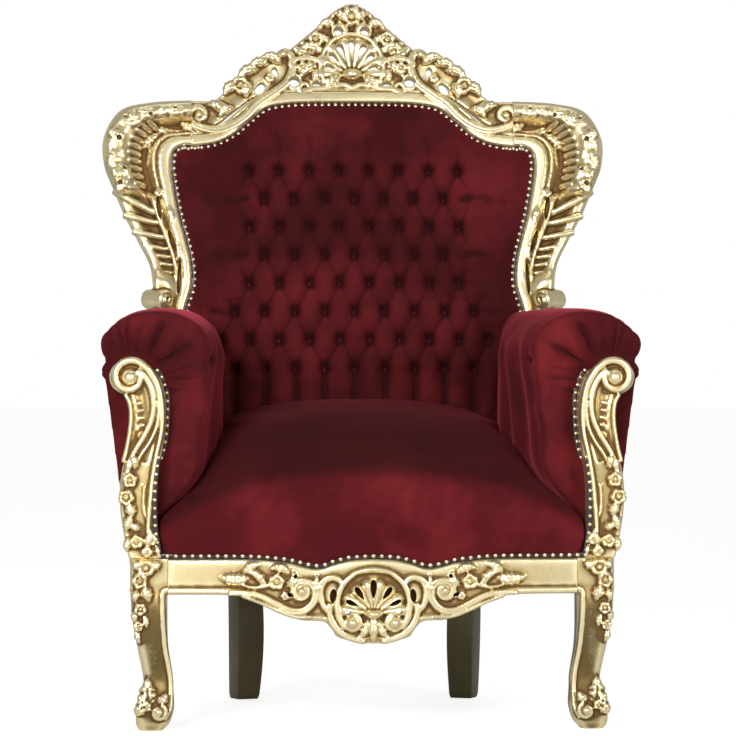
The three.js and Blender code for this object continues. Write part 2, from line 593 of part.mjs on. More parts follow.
// Seat: a deep sprung cushion over the rails, its front edge following the apron
function seat() {
  const rear = backRailFront + padTail / 2;
  const half = (y) => Math.min(railHalf, sideX(y) - railThick - 3); // between the posts, then between the side rails
  const rings = apronLine(apronTop, railHeight).map(([x, up]) => {
    const across = x / railHalf;
    const edge = Math.abs(across);
    const front = -apronBow * (1 - (x / frontHalf) ** 2);
    const foot = up + gap;
    const crown = (share) => {
      const rise = mix(0.62, 1, Math.sin((Math.PI / 2) * Math.min(1, share * 1.9)));
      return railTop + (seatCrown - railTop) * rise - seatDome * edge ** 3 * (1 + 0.2 * share);
    };
    const swellOut = seatBulge * (1.05 - edge ** 4);
    const face = (share) => mix(foot, crown(0), share);
    const top = [0.03, 0.12, 0.3, 0.55, 1].map((share) => [mix(front, rear, share), crown(share)]);
    return [
      [railThick + 3 * gap, railTop + gap], [railThick + gap, foot], [front - 3, foot],
      [front - 3 - 0.7 * swellOut, face(0.22)], [front - 3 - swellOut, face(0.5)],
      [front - 0.5 * swellOut, face(0.88)], ...top, [rear, railTop + gap],
    ].map(([y, up]) => new THREE.Vector3(across * half(y), y, up));
  });
  const arm = armPad(gap);
  const forward = new THREE.Vector3(0, -Math.cos(rake), Math.sin(rake));
  const rearFace = forward.dot(backFace(0, panelFoot, 4 + cushionCrown)) + gap;
  return solid(loft(rings)).subtract(arm).subtract(mirrorX(arm)).trimByPlane(forward.toArray(), rearFace);
}

const throne = new THREE.Group();

function show(name, made, material, flip = 1) {
  const { vertProperties, triVerts } = made.getMesh();
  const geometry = new THREE.BufferGeometry()
    .setAttribute("position", new THREE.BufferAttribute(new Float32Array(vertProperties), 3))
    .setIndex(new THREE.BufferAttribute(new Uint32Array(triVerts), 1));
  geometry.computeVertexNormals();
  const mesh = new THREE.Mesh(geometry, material);
  mesh.name = name;
  mesh.scale.x = flip;
  throne.add(mesh);
}

function showPair(name, made, material) {
  show(name + "_right", made, material);
  show(name + "_left", made, material, -1);
}

showPair("front_leg", frontLeg(), gilt);
showPair("back_leg", backLeg(), darkPaint);
show("front_rail", frontRail(), gilt);
showPair("side_rail", sideRail(), gilt);
show("back_rail", backRail(), gilt);
showPair("arm_post", armPost(), gilt);
showPair("back_stile", stile(), gilt);
show("crest_rail", crest(), gilt);
show("back_cushion", backCushion(), velvet);
show("outer_back", outerBack(), velvet);
showPair("arm_pad", armPad(0), velvet);
show("seat_cushion", seat(), velvet);

// The origin is on the floor, in the middle of the throne's footprint
const reach = new THREE.Box3().setFromObject(throne);
throne.position.y = -(reach.min.y + reach.max.y) / 2;

export default throne;
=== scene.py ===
import math
import bmesh
import bpy
import numpy as np
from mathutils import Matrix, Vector


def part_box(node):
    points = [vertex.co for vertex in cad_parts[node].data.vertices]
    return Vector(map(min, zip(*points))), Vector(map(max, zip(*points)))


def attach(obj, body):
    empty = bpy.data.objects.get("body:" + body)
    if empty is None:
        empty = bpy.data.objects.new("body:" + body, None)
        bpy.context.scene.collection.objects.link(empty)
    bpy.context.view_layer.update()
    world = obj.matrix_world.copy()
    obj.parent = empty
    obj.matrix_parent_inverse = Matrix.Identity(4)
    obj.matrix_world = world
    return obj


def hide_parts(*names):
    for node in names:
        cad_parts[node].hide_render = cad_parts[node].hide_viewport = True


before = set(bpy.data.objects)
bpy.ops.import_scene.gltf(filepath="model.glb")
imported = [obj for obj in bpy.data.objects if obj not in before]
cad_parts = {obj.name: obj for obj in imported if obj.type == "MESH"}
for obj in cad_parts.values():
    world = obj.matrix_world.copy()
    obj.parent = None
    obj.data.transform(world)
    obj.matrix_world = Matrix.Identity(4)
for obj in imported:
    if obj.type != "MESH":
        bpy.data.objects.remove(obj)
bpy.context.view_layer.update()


print("throne: frame loaded")

mm = 0.001
rake = math.radians(9)  # how far the back leans
frameDepth = 592  # front of the legs to the rear of the back rail
frameThick = 46  # back frame, front to back
railTop = 283
wingHalf, wingReach = 449, 34  # the wings come forward of the middle of the back
frontHalf, apronBow = 366, 14  # the apron bows forward at its middle
postFront = 6.4  # front of the legs and the posts
jointX = 289.15  # where the crest meets a wing
apronHalf = 335.15
padFoot = 283.6  # underside of the back's upholstery
panelHalf, panelFoot, panelTall = 302, 288.9, 791.1  # the back's upholstered panel
panelGap = 0.8
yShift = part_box("back_rail")[1][1] / mm - frameDepth
backPlaneY = frameDepth - frameThick - railTop * math.sin(rake) + 3


def smoothStep(value, low, high):
    t = np.clip((value - low) / (high - low), 0, 1)
    return t * t * (3 - 2 * t)


def mixed(a, b, t):
    return a + (b - a) * t


# Curves and faces. Everything is drawn in millimetres on a face, as x, up and out, then placed in metres.
def curveThrough(points, count):
    points = np.asarray(points, float)
    last = len(points) - 1
    t = np.linspace(0, last, count)
    i = np.minimum(t.astype(int), last - 1)
    w = (t - i)[:, None]
    p0, p1 = points[np.maximum(i - 1, 0)], points[i]
    p2, p3 = points[i + 1], points[np.minimum(i + 2, last)]
    v0, v1 = (p2 - p0) / 2, (p3 - p1) / 2
    return (2 * p1 - 2 * p2 + v0 + v1) * w**3 + (3 * p2 - 3 * p1 - 2 * v0 - v1) * w**2 + v0 * w + p1


def spiral(x, up, fromRadius, toRadius, start, turns, count=40):
    t = np.linspace(0, 1, count)
    angle = start + 2 * math.pi * turns * t
    radius = fromRadius + (toRadius - fromRadius) * t
    return np.stack([x + radius * np.cos(angle), up + radius * np.sin(angle)], -1)


def backFace(x, up, out):
    lift = out + wingReach * (x / wingHalf) ** 2
    return np.stack([x + 0 * lift, backPlaneY + up * math.sin(rake) - lift * math.cos(rake),
                     up * math.cos(rake) + lift * math.sin(rake)], -1)


def frontFace(x, up, out):
    return np.stack([x + 0 * out, -out - apronBow * (1 - (x / frontHalf) ** 2), up + 0 * out], -1)


def postFace(x, up, out):
    return np.stack([x + 0 * out, -postFront - out, up + 0 * out], -1)


def loft(rings, flatEnds=False):
    rings = np.asarray(rings, float)
    n, m = rings.shape[:2]
    i, j = np.meshgrid(np.arange(n - 1), np.arange(m), indexing="ij")
    a, b = i * m + j, i * m + (j + 1) % m
    quads = np.stack([a, b, b + m, a + m], -1).reshape(-1, 4).tolist()
    if flatEnds:
        ends = [list(range(m))[::-1], [(n - 1) * m + k for k in range(m)]]
        return rings.reshape(-1, 3), quads + ends
    k = np.arange(m)
    low = np.stack([(k + 1) % m, k, np.full(m, n * m)], -1).tolist()
    high = np.stack([(n - 1) * m + k, (n - 1) * m + (k + 1) % m, np.full(m, n * m + 1)], -1).tolist()
    verts = np.vstack([rings.reshape(-1, 3), rings[0].mean(0), rings[-1].mean(0)])
    return verts, quads + low + high


def spread(value, t):
    return value(t) if callable(value) else np.full(len(t), float(value))


# A moulded scroll along a path; groove hollows its top
def scroll(face, path, width, height, out=0, groove=0.0, across=13):
    path = np.asarray(path, float)
    t = np.linspace(0, 1, len(path))
    w, h, lift = spread(width, t), spread(height, t), spread(out, t)
    tangent = np.gradient(path, axis=0)
    tangent /= np.linalg.norm(tangent, axis=1)[:, None] + 1e-9
    phi = np.linspace(0, math.pi, across)
    s = np.cos(phi)
    rise = np.sin(phi) * (1 - groove * np.exp(-(s / 0.42) ** 2))
    s, rise = np.append(s, [-0.9, 0.9]), np.append(rise, [-0.7, -0.7])
    x = path[:, :1] + tangent[:, 1:] * w[:, None] * s
    up = path[:, 1:] - tangent[:, :1] * w[:, None] * s
    return loft(face(x, up, lift[:, None] + h[:, None] * rise))


# An acanthus leaf: lobed edge, hollow midrib, veins, curled tip
def leaf(face, start, end, width, height, bend=0.0, lobes=4, out=0, curl=4, along=28, across=15):
    start, end = np.array(start, float), np.array(end, float)
    reach = end - start
    t = np.linspace(0, 1, along)
    path = (start + t[:, None] * reach + (np.sin(math.pi * t) * bend)[:, None]
            * np.array([-reach[1], reach[0]]))
    tangent = np.gradient(path, axis=0)
    tangent /= np.linalg.norm(tangent, axis=1)[:, None]
    swell = np.sin(math.pi * np.clip(t, 0.03, 0.98) ** 0.8) ** 0.75
    lobe = 0.5 - 0.5 * np.cos(2 * math.pi * lobes * t)
    s = np.linspace(-1, 1, across)
    w = (width * swell * (0.74 + 0.26 * lobe))[:, None]
    vein = 0.24 * np.cos(2 * math.pi * (lobes * t[:, None] - 0.5 - 0.45 * abs(s))) * abs(s)
    top = (out + height * swell[:, None] * (1 - 0.62 * s**2 + vein - 0.34 * np.exp(-(s / 0.14) ** 2))
           + (curl * t**3)[:, None])
    s = np.append(s, [0.85, -0.85])
    x = path[:, :1] + tangent[:, 1:] * w * s
    up = path[:, 1:] - tangent[:, :1] * w * s
    o = np.hstack([top, np.full((along, 2), out - 5.0)])
    return loft(face(x, up, o))


# A flower: cupped petals round a domed eye
def flower(face, x, up, radius, height, petals=5, turn=0.0, out=0, count=60):
    theta = np.linspace(0, 2 * math.pi, count, endpoint=False)
    petal = abs(np.cos(petals * (theta - turn) / 2)) ** 0.55
    rings = []
    for share, rise in [(0.96, -0.5), (1.0, 0.25), (0.95, 0.5), (0.82, 0.72), (0.62, 0.68), (0.42, 0.42),
                        (0.3, 0.4), (0.27, 0.75), (0.18, 0.96), (0.06, 1.05)]:
        ragged = share * (0.7 + 0.3 * petal) if share > 0.35 else np.full(count, share)
        lift = rise * (0.62 + 0.38 * petal) if 0.35 < share and rise > 0 else np.full(count, rise)
        r = radius * ragged
        rings.append(face(x + r * np.cos(theta), up + r * np.sin(theta), out + height * lift))
    return loft(rings)


# A scallop shell: rounded ribs fan from the hinge
def shell(face, x, up, radius, ribs, fan, height, out=0, squash=1.0):
    count = ribs * 10 + 1
    share = np.linspace(0, 1, count)
    angle = math.pi / 2 + fan * (0.5 - share)
    rib = abs(np.sin(math.pi * ribs * share)) ** 0.6
    reach = np.array([0.08, 0.2, 0.35, 0.5, 0.65, 0.8, 0.92, 1.0, 0.99, 0.08])
    rise = np.array([0.5, 0.55, 0.62, 0.72, 0.85, 0.98, 0.9, 0.35, -0.6, -0.6])
    rim = 0.9 + 0.1 * rib
    r = radius * np.where(reach > 0.5, reach * rim[:, None], reach)
    depth = np.where(rise > 0, rise * (0.25 + 0.75 * rib[:, None]), rise)
    return loft(face(x + r * np.cos(angle)[:, None], up + squash * r * np.sin(angle)[:, None],
                     out + height * depth))


def pearl(face, x, up, radius, out=0, high=1.0):
    phi = np.linspace(-0.5, 0.5, 9) * math.pi * 0.96
    theta = np.linspace(0, 2 * math.pi, 14, endpoint=False)
    rings = [face(x + radius * math.cos(p) * np.cos(theta), up + radius * math.cos(p) * np.sin(theta),
                  out + high * radius * math.sin(p) + 0 * theta) for p in phi]
    return loft(rings)


# A round-nosed gouge drawn along a path, for cutting flutes
def gouge(face, path, radius, out, count=16):
    path = np.asarray(path, float)
    t = np.linspace(0, 1, len(path))
    r, lift = spread(radius, t), spread(out, t)
    tangent = np.gradient(path, axis=0)
    tangent /= np.linalg.norm(tangent, axis=1)[:, None]
    theta = np.linspace(0, 2 * math.pi, count, endpoint=False)
    x = path[:, :1] + tangent[:, 1:] * r[:, None] * np.cos(theta)
    up = path[:, 1:] - tangent[:, :1] * r[:, None] * np.cos(theta)
    return loft(face(x, up, lift[:, None] + r[:, None] * np.sin(theta)))


# A moulding between two matched lines; profile gives the height across it, at each place along it
def moulding(face, inner, outer, profile, thick, steps, across=40):
    near, far = curveThrough(inner, steps), curveThrough(outer, steps)
    t = np.linspace(0, 1, steps)
    s = np.linspace(0, 1, across)
    rings = []
    for i in range(steps):
        out = np.append(profile(s, t[i]), [-thick, -thick])
        share = np.append(s, [0.97, 0.02])
        x = near[i, 0] + (far[i, 0] - near[i, 0]) * share
        up = near[i, 1] + (far[i, 1] - near[i, 1]) * share
        rings.append(face(x, up, out))
    return loft(rings)


def prism(face, x, up, wide, tall, turn=0.0, low=-90, egg=0.0):
    theta = np.linspace(0, 2 * math.pi, 24, endpoint=False)
    a, b = wide * np.cos(theta) * (1 + egg * np.sin(theta)), tall * np.sin(theta)
    px, pu = x + a * math.cos(turn) - b * math.sin(turn), up + a * math.sin(turn) + b * math.cos(turn)
    return loft([face(px, pu, out + 0 * px) for out in (low, low / 2, 20, 60)])


def each(make, face, rows):
    return [make(face, *row) for row in rows]


def mirrored(forms):
    return forms + [(verts * [-1, 1, 1], [face[::-1] for face in faces]) for verts, faces in forms]


def bothSides(points):
    points = np.asarray(points, float)
    return np.vstack([points, (points[:-1] * [-1, 1])[::-1]])


# Meshes
def inScene(name, data):
    thing = bpy.data.objects.new(name, data)
    bpy.context.scene.collection.objects.link(thing)
    return thing


def objectFrom(name, verts, faces):
    mesh = bpy.data.meshes.new(name)
    mesh.from_pydata(np.asarray(verts).tolist(), [], faces)
    mesh.update()
    return inScene(name, mesh)


def gathered(name, forms):
    verts, faces, start = [], [], 0
    for formVerts, formFaces in forms:
        verts.append(formVerts)
        faces.extend([[k + start for k in face] for face in formFaces])
        start += len(formVerts)
    verts = np.vstack(verts)
    verts[:, 1] += yShift
    return objectFrom(name, verts * mm, faces)


def applyModifiers(piece):
    bpy.context.view_layer.update()
    graph = bpy.context.evaluated_depsgraph_get()
    mesh = bpy.data.meshes.new_from_object(piece.evaluated_get(graph))
    old = piece.data
    piece.modifiers.clear()
    piece.data = mesh
    mesh.name = piece.name
    bpy.data.meshes.remove(old)


def remesh(piece, voxel, smooth=0):
    fuse = piece.modifiers.new("fuse", "REMESH")
    fuse.mode = "VOXEL"
    fuse.voxel_size = voxel * mm
    if smooth:
        soften = piece.modifiers.new("soften", "SMOOTH")
        soften.factor = 0.5
        soften.iterations = smooth
    applyModifiers(piece)


def cut(piece, forms):
    cutter = gathered("cutter", forms)
    shape = bmesh.new()
    shape.from_mesh(cutter.data)
    bmesh.ops.recalc_face_normals(shape, faces=shape.faces)
    shape.to_mesh(cutter.data)
    shape.free()
    carve = piece.modifiers.new("carve", "BOOLEAN")
    carve.operation = "DIFFERENCE"
    carve.solver = "MANIFOLD"
    carve.object = cutter
    applyModifiers(piece)
    bpy.data.objects.remove(cutter)


def verticesOf(mesh):
    co = np.empty(len(mesh.vertices) * 3, np.float32)
    mesh.vertices.foreach_get("co", co)
    return co.reshape(-1, 3).astype(float)


def moveVertices(mesh, co):
    mesh.vertices.foreach_set("co", co.astype(np.float32).ravel())
    mesh.update()


def spacedOut(values, edges, count, rounds):
    for _ in range(rounds):
        total = np.stack([np.bincount(edges[:, 0], values[edges[:, 1], k], count)
                          + np.bincount(edges[:, 1], values[edges[:, 0], k], count)
                          for k in range(values.shape[1])], -1)
        values = total / np.maximum(valence(edges, count), 1)[:, None]
    return values


def valence(edges, count):
    return np.bincount(edges.ravel(), minlength=count)


# How deep each point lies below its surroundings, near and wide, for the toning in the gilding's hollows and
# the painted shade in the velvet's folds
def markHollows(piece):
    mesh = piece.data
    co = verticesOf(mesh)
    edges = np.empty(len(mesh.edges) * 2, np.int32)
    mesh.edges.foreach_get("vertices", edges)
    edges = edges.reshape(-1, 2)
    normals = np.empty(len(co) * 3, np.float32)
    mesh.vertex_normals.foreach_get("vector", normals)
    normals = normals.reshape(-1, 3)
    fine = spacedOut(co, edges, len(co), 4)
    broad = spacedOut(fine, edges, len(co), 26)
    for name, level, scale in (("hollowFine", fine, 0.45), ("hollowBroad", broad, 2.6)):
        depth = np.einsum("ij,ij->i", level - co, normals) / (scale * mm)
        layer = mesh.attributes.new(name, "FLOAT", "POINT")
        layer.data.foreach_set("value", np.clip(depth, -1, 1).astype(np.float32))


def shadeSmooth(piece):
    piece.data.polygons.foreach_set("use_smooth", np.ones(len(piece.data.polygons), bool))
    piece.data.update()


def thin(piece, most):
    faces = sum(len(p.vertices) - 2 for p in piece.data.polygons)
    if faces > most:
        lighten = piece.modifiers.new("lighten", "DECIMATE")
        lighten.ratio = most / faces
        applyModifiers(piece)


def mirrorCopy(piece, name):
    verts = verticesOf(piece.data) * [-1, 1, 1]
    faces = [list(p.vertices)[::-1] for p in piece.data.polygons]
    twin = objectFrom(name, verts, faces)
    for layer in piece.data.attributes:
        if layer.name.startswith("hollow"):
            values = np.empty(len(verts), np.float32)
            layer.data.foreach_get("value", values)
            twin.data.attributes.new(layer.name, "FLOAT", "POINT").data.foreach_set("value", values)
    return twin


def finishCarving(piece, node, most):
    thin(piece, most)
    markHollows(piece)
    shadeSmooth(piece)
    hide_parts(node)
    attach(piece, "root")
    return piece


# Crest rail
crest = {"voxel": 1.8, "smooth": 2, "triangles": 190000, "thick": frameThick, "plate": 26}
archInner = [(309, 994), (266, 999), (239, 1006), (212, 1021), (185, 1045), (158, 1067), (131, 1075),
             (86, 1079), (0, 1080)]
archOuter = [(309, 1021), (271, 1025.5), (250, 1031), (229, 1043), (203, 1066), (170, 1091), (137, 1101),
             (88, 1106), (0, 1107)]
crestOutline = [(298, 1080), (275, 1081), (252, 1082), (237, 1091), (223, 1109), (200, 1133), (178, 1151),
                (160, 1166), (142, 1171), (124, 1168), (109, 1181), (87, 1200), (66, 1218), (48, 1236),
                (24, 1255), (0, 1264)]
crestFoot = [(298, 1030), (275, 1032), (252, 1036), (237, 1044), (223, 1056), (200, 1074), (178, 1090),
             (160, 1097), (142, 1100), (124, 1102), (109, 1103), (87, 1104), (66, 1104), (48, 1104),
             (24, 1104), (0, 1104)]


def archProfile(s, t):
    return np.interp(s, [0, 0.06, 0.16, 0.62, 0.68, 0.74, 0.8, 0.97, 1],
                     [5, 8.5, 9.5, 9.5, 8, 5.5, 8.5, 7.5, 3])


def crestForms():
    half = [
        # the broad scroll from the crest's shoulder down to the wing, ending in a curl
        scroll(backFace, np.vstack([
            curveThrough([(138, 1150), (133, 1166), (120, 1173), (109, 1163), (107, 1140), (117, 1116),
                          (140, 1097), (168, 1077), (192, 1052), (218, 1034), (246, 1026),
                          (272, 1030)], 90),
            spiral(276, 1053, 21, 6, -1.45, 1.15, 46)]),
            lambda t: 4 + 5.5 * np.sin(math.pi * np.clip(t * 1.1, 0, 1)) ** 0.8,
            lambda t: 9 + 3 * np.sin(math.pi * t), 2, groove=0.25),
        # the low scroll under the shell, curled up at its end
        scroll(backFace, np.vstack([
            curveThrough([(0, 1106), (14, 1112), (34, 1110), (56, 1105), (76, 1103), (90, 1096)], 40),
            spiral(84, 1106, 11, 4, -0.6, 0.8, 24)]),
            lambda t: 5.5 - 2 * t, lambda t: 9 - 2 * t, 3, groove=0.2),
        # the arched rim over the shell's slots
        scroll(backFace, curveThrough([(0, 1206), (22, 1202), (42, 1187), (54, 1164), (57, 1142),
                                       (50, 1120)], 40),
               4.2, 9, 3, groove=0.2),
        # rims round the piercings
        scroll(backFace, spiral(24, 1211.5, 11, 11, 0, 0.98, 30), 2.8, 8, 2),
        scroll(backFace, spiral(104.5, 1118, 12.5, 12.5, 0, 0.98, 30), 2.8, 7, 2),
        # the scroll that leans out from the shell's foot
        scroll(backFace, curveThrough([(48, 1150), (70, 1160), (94, 1160), (112, 1152), (106, 1142)], 30),
               lambda t: 6 - 2 * t, 10, 3, groove=0.3),
        *each(leaf, backFace, [
            ((20, 1128), (58, 1118), 10, 10, -0.12, 4, 3), ((60, 1150), (92, 1126), 11, 11, 0.16, 5, 2),
            ((62, 1142), (64, 1112), 9, 10, 0.1, 4, 3), ((52, 1172), (94, 1180), 12, 11, 0.18, 5, 1),
            ((104, 1182), (66, 1172), 11, 9, 0.15, 5, 0), ((36, 1196), (68, 1212), 10, 10, -0.15, 4, 1),
            ((30, 1222), (58, 1222), 11, 11, 0.2, 5, 2), ((4, 1212), (24, 1232), 10, 12, -0.2, 4, 3),
            ((6, 1228), (34, 1246), 10, 12, 0.15, 4, 3), ((0, 1236), (10, 1262), 8, 11, -0.1, 3, 4),
            ((128, 1150), (166, 1160), 11, 13, 0.22, 5, 3), ((150, 1150), (186, 1142), 11, 12, 0.2, 5, 2),
            ((168, 1140), (206, 1122), 12, 11, 0.18, 5, 2), ((182, 1116), (190, 1086), 12, 12, 0.16, 5, 3),
            ((206, 1112), (230, 1090), 12, 11, 0.2, 5, 2), ((224, 1072), (254, 1082), 11, 11, -0.2, 4, 4),
            ((236, 1060), (262, 1072), 9, 12, 0.2, 4, 6), ((212, 1066), (240, 1050), 10, 10, 0.2, 4, 4)]),
        *each(flower, backFace, [
            (65, 1197, 15, 12, 5, 0.3, 2), (202, 1110, 17, 13, 5, 0.9, 3), (88, 1143, 12, 12, 5, 0.2, 3),
            (148, 1124, 9, 9, 5, 0, 2)]),
        *each(pearl, backFace, [
            (276, 1053, 7.5, 6, 1.3), (44, 1112, 6, 5), (124, 1168, 7, 8)]),
    ]
    half += [pearl(backFace, x, up, 5.5, 1) for x, up in curveThrough(crestOutline[8:], 14)[1:-1] - [4, 4]]
    mirroredHalf = mirrored(half)
    return mirroredHalf + [
        moulding(backFace, bothSides(archInner), bothSides(archOuter), archProfile, crest["thick"], 200),
        moulding(backFace, bothSides(crestFoot), bothSides(crestOutline),
                 lambda s, t: np.interp(s, [0, 0.4, 0.85, 0.96, 1], [2, 0, 1, 2, -3]), crest["plate"], 220,
                 30),
        shell(backFace, 0, 1130, 72, 8, 3.45, 11, 0),
        flower(backFace, 0, 1238, 19, 15, 6, 0.26, 3),
        scroll(backFace, curveThrough([(-17, 1133), (-9, 1132), (0, 1131.5), (9, 1132), (17, 1133)], 20),
               lambda t: 3 + 8 * np.sin(math.pi * t) ** 0.7, lambda t: 4 + 12 * np.sin(math.pi * t) ** 0.7,
               5),
    ]


def crestHoles():
    half = [
        prism(backFace, 24, 1211.5, 8.6, 8.6), prism(backFace, 104.5, 1118, 10.5, 9.5),
        prism(backFace, 166, 1106, 8.5, 13, 0.55),
        prism(backFace, 63, 1115, 9, 5, 0.1), prism(backFace, 139, 1137, 6, 9.5, -0.2),
    ]
    for angle, reach, wide, tall in ((0.43, 46.5, 6.2, 13), (0.85, 43, 5.8, 11.5), (1.3, 40, 5.2, 9.5)):
        half.append(prism(backFace, reach * math.sin(angle), 1135 + reach * math.cos(angle), wide, tall,
                          -angle, egg=0.35))
    return mirrored(half) + [prism(backFace, 0, 1184, 6.2, 14, egg=0.35)]


def sideCut(limit, high, low=-20):
    # everything nearer the middle than the joint, or beyond it
    x0, x1 = limit
    corners = [(x0, low), (x1, low), (x1, high), (x0, high)]
    return loft([[(x, y, up) for x, up in corners] for y in (-200, 900)])


def buildCrest():
    piece = gathered("carvedCrest", crestForms())
    remesh(piece, crest["voxel"], crest["smooth"])
    cut(piece, crestHoles() + [sideCut((jointX - 0.05, 600), 1500, 800),
                               sideCut((-600, 0.05 - jointX), 1500, 800)])
    return finishCarving(piece, "crest_rail", crest["triangles"])


# Wings and stiles
stileInner = [(190, 286), (222, 396), (268, 517), (300, 618), (303, 688), (289, 743), (291, 789),
              (300, 829), (312, 874), (320, 919), (325, 959), (321, 986), (307, 996), (290, 997.5),
              (276, 998), (266, 999)]
stileOuter = [(243, 286), (275, 393), (323, 510), (353, 611), (357, 688), (359, 741), (366, 784),
              (386, 825), (411, 872), (429, 914), (446, 959), (446.5, 1009), (417.5, 1058), (364, 1074.4),
              (301, 1080), (254, 1081)]
wing = {"voxel": 2.0, "smooth": 2, "triangles": 110000, "thick": frameThick}


def stileProfile(s, t):
    plain = np.interp(s, [0, 0.05, 0.1, 0.24, 0.29, 0.36, 0.43, 0.5, 0.62, 0.9, 0.97, 1],
                      [3, 7.5, 9, 9, 6.5, 2.5, 6.5, 9.5, 9, 8, 5, 0])
    cove = np.interp(s, [0, 0.03, 0.07, 0.19, 0.215, 0.235, 0.255, 0.275, 0.3, 0.35, 0.41, 0.48, 0.54, 0.62,
                         0.74, 0.9, 0.97, 1],
                     [3, 7.5, 9, 9, 4, 4, 9, 9, 3, -6, -9, -7, 2, 17, 23, 21, 12, 2])
    ribbed = np.interp(s, [0, 0.03, 0.07, 0.2, 0.25, 0.3, 0.35, 0.39, 0.43, 0.47, 0.62, 0.72, 0.82, 0.92, 1],
                       [3, 7.5, 9, 9, 3, -2, 4, 9, 6, -7, -9, -3, 3, 2, -4])
    carved = smoothStep(t, 0.31, 0.4)
    ribs = smoothStep(t, 0.33, 0.38) * smoothStep(0.6 - t, 0, 0.03)
    return plain * (1 - carved) + carved * (cove * (1 - ribs) + ribbed * ribs)


def wingPoint(share, along):
    at = int(round(along * 600))
    near, far = wing["inner"][at], wing["outer"][at]
    return near + (far - near) * share


def wingPath(points, count=16):
    return curveThrough([wingPoint(share, along) for share, along in points], count)


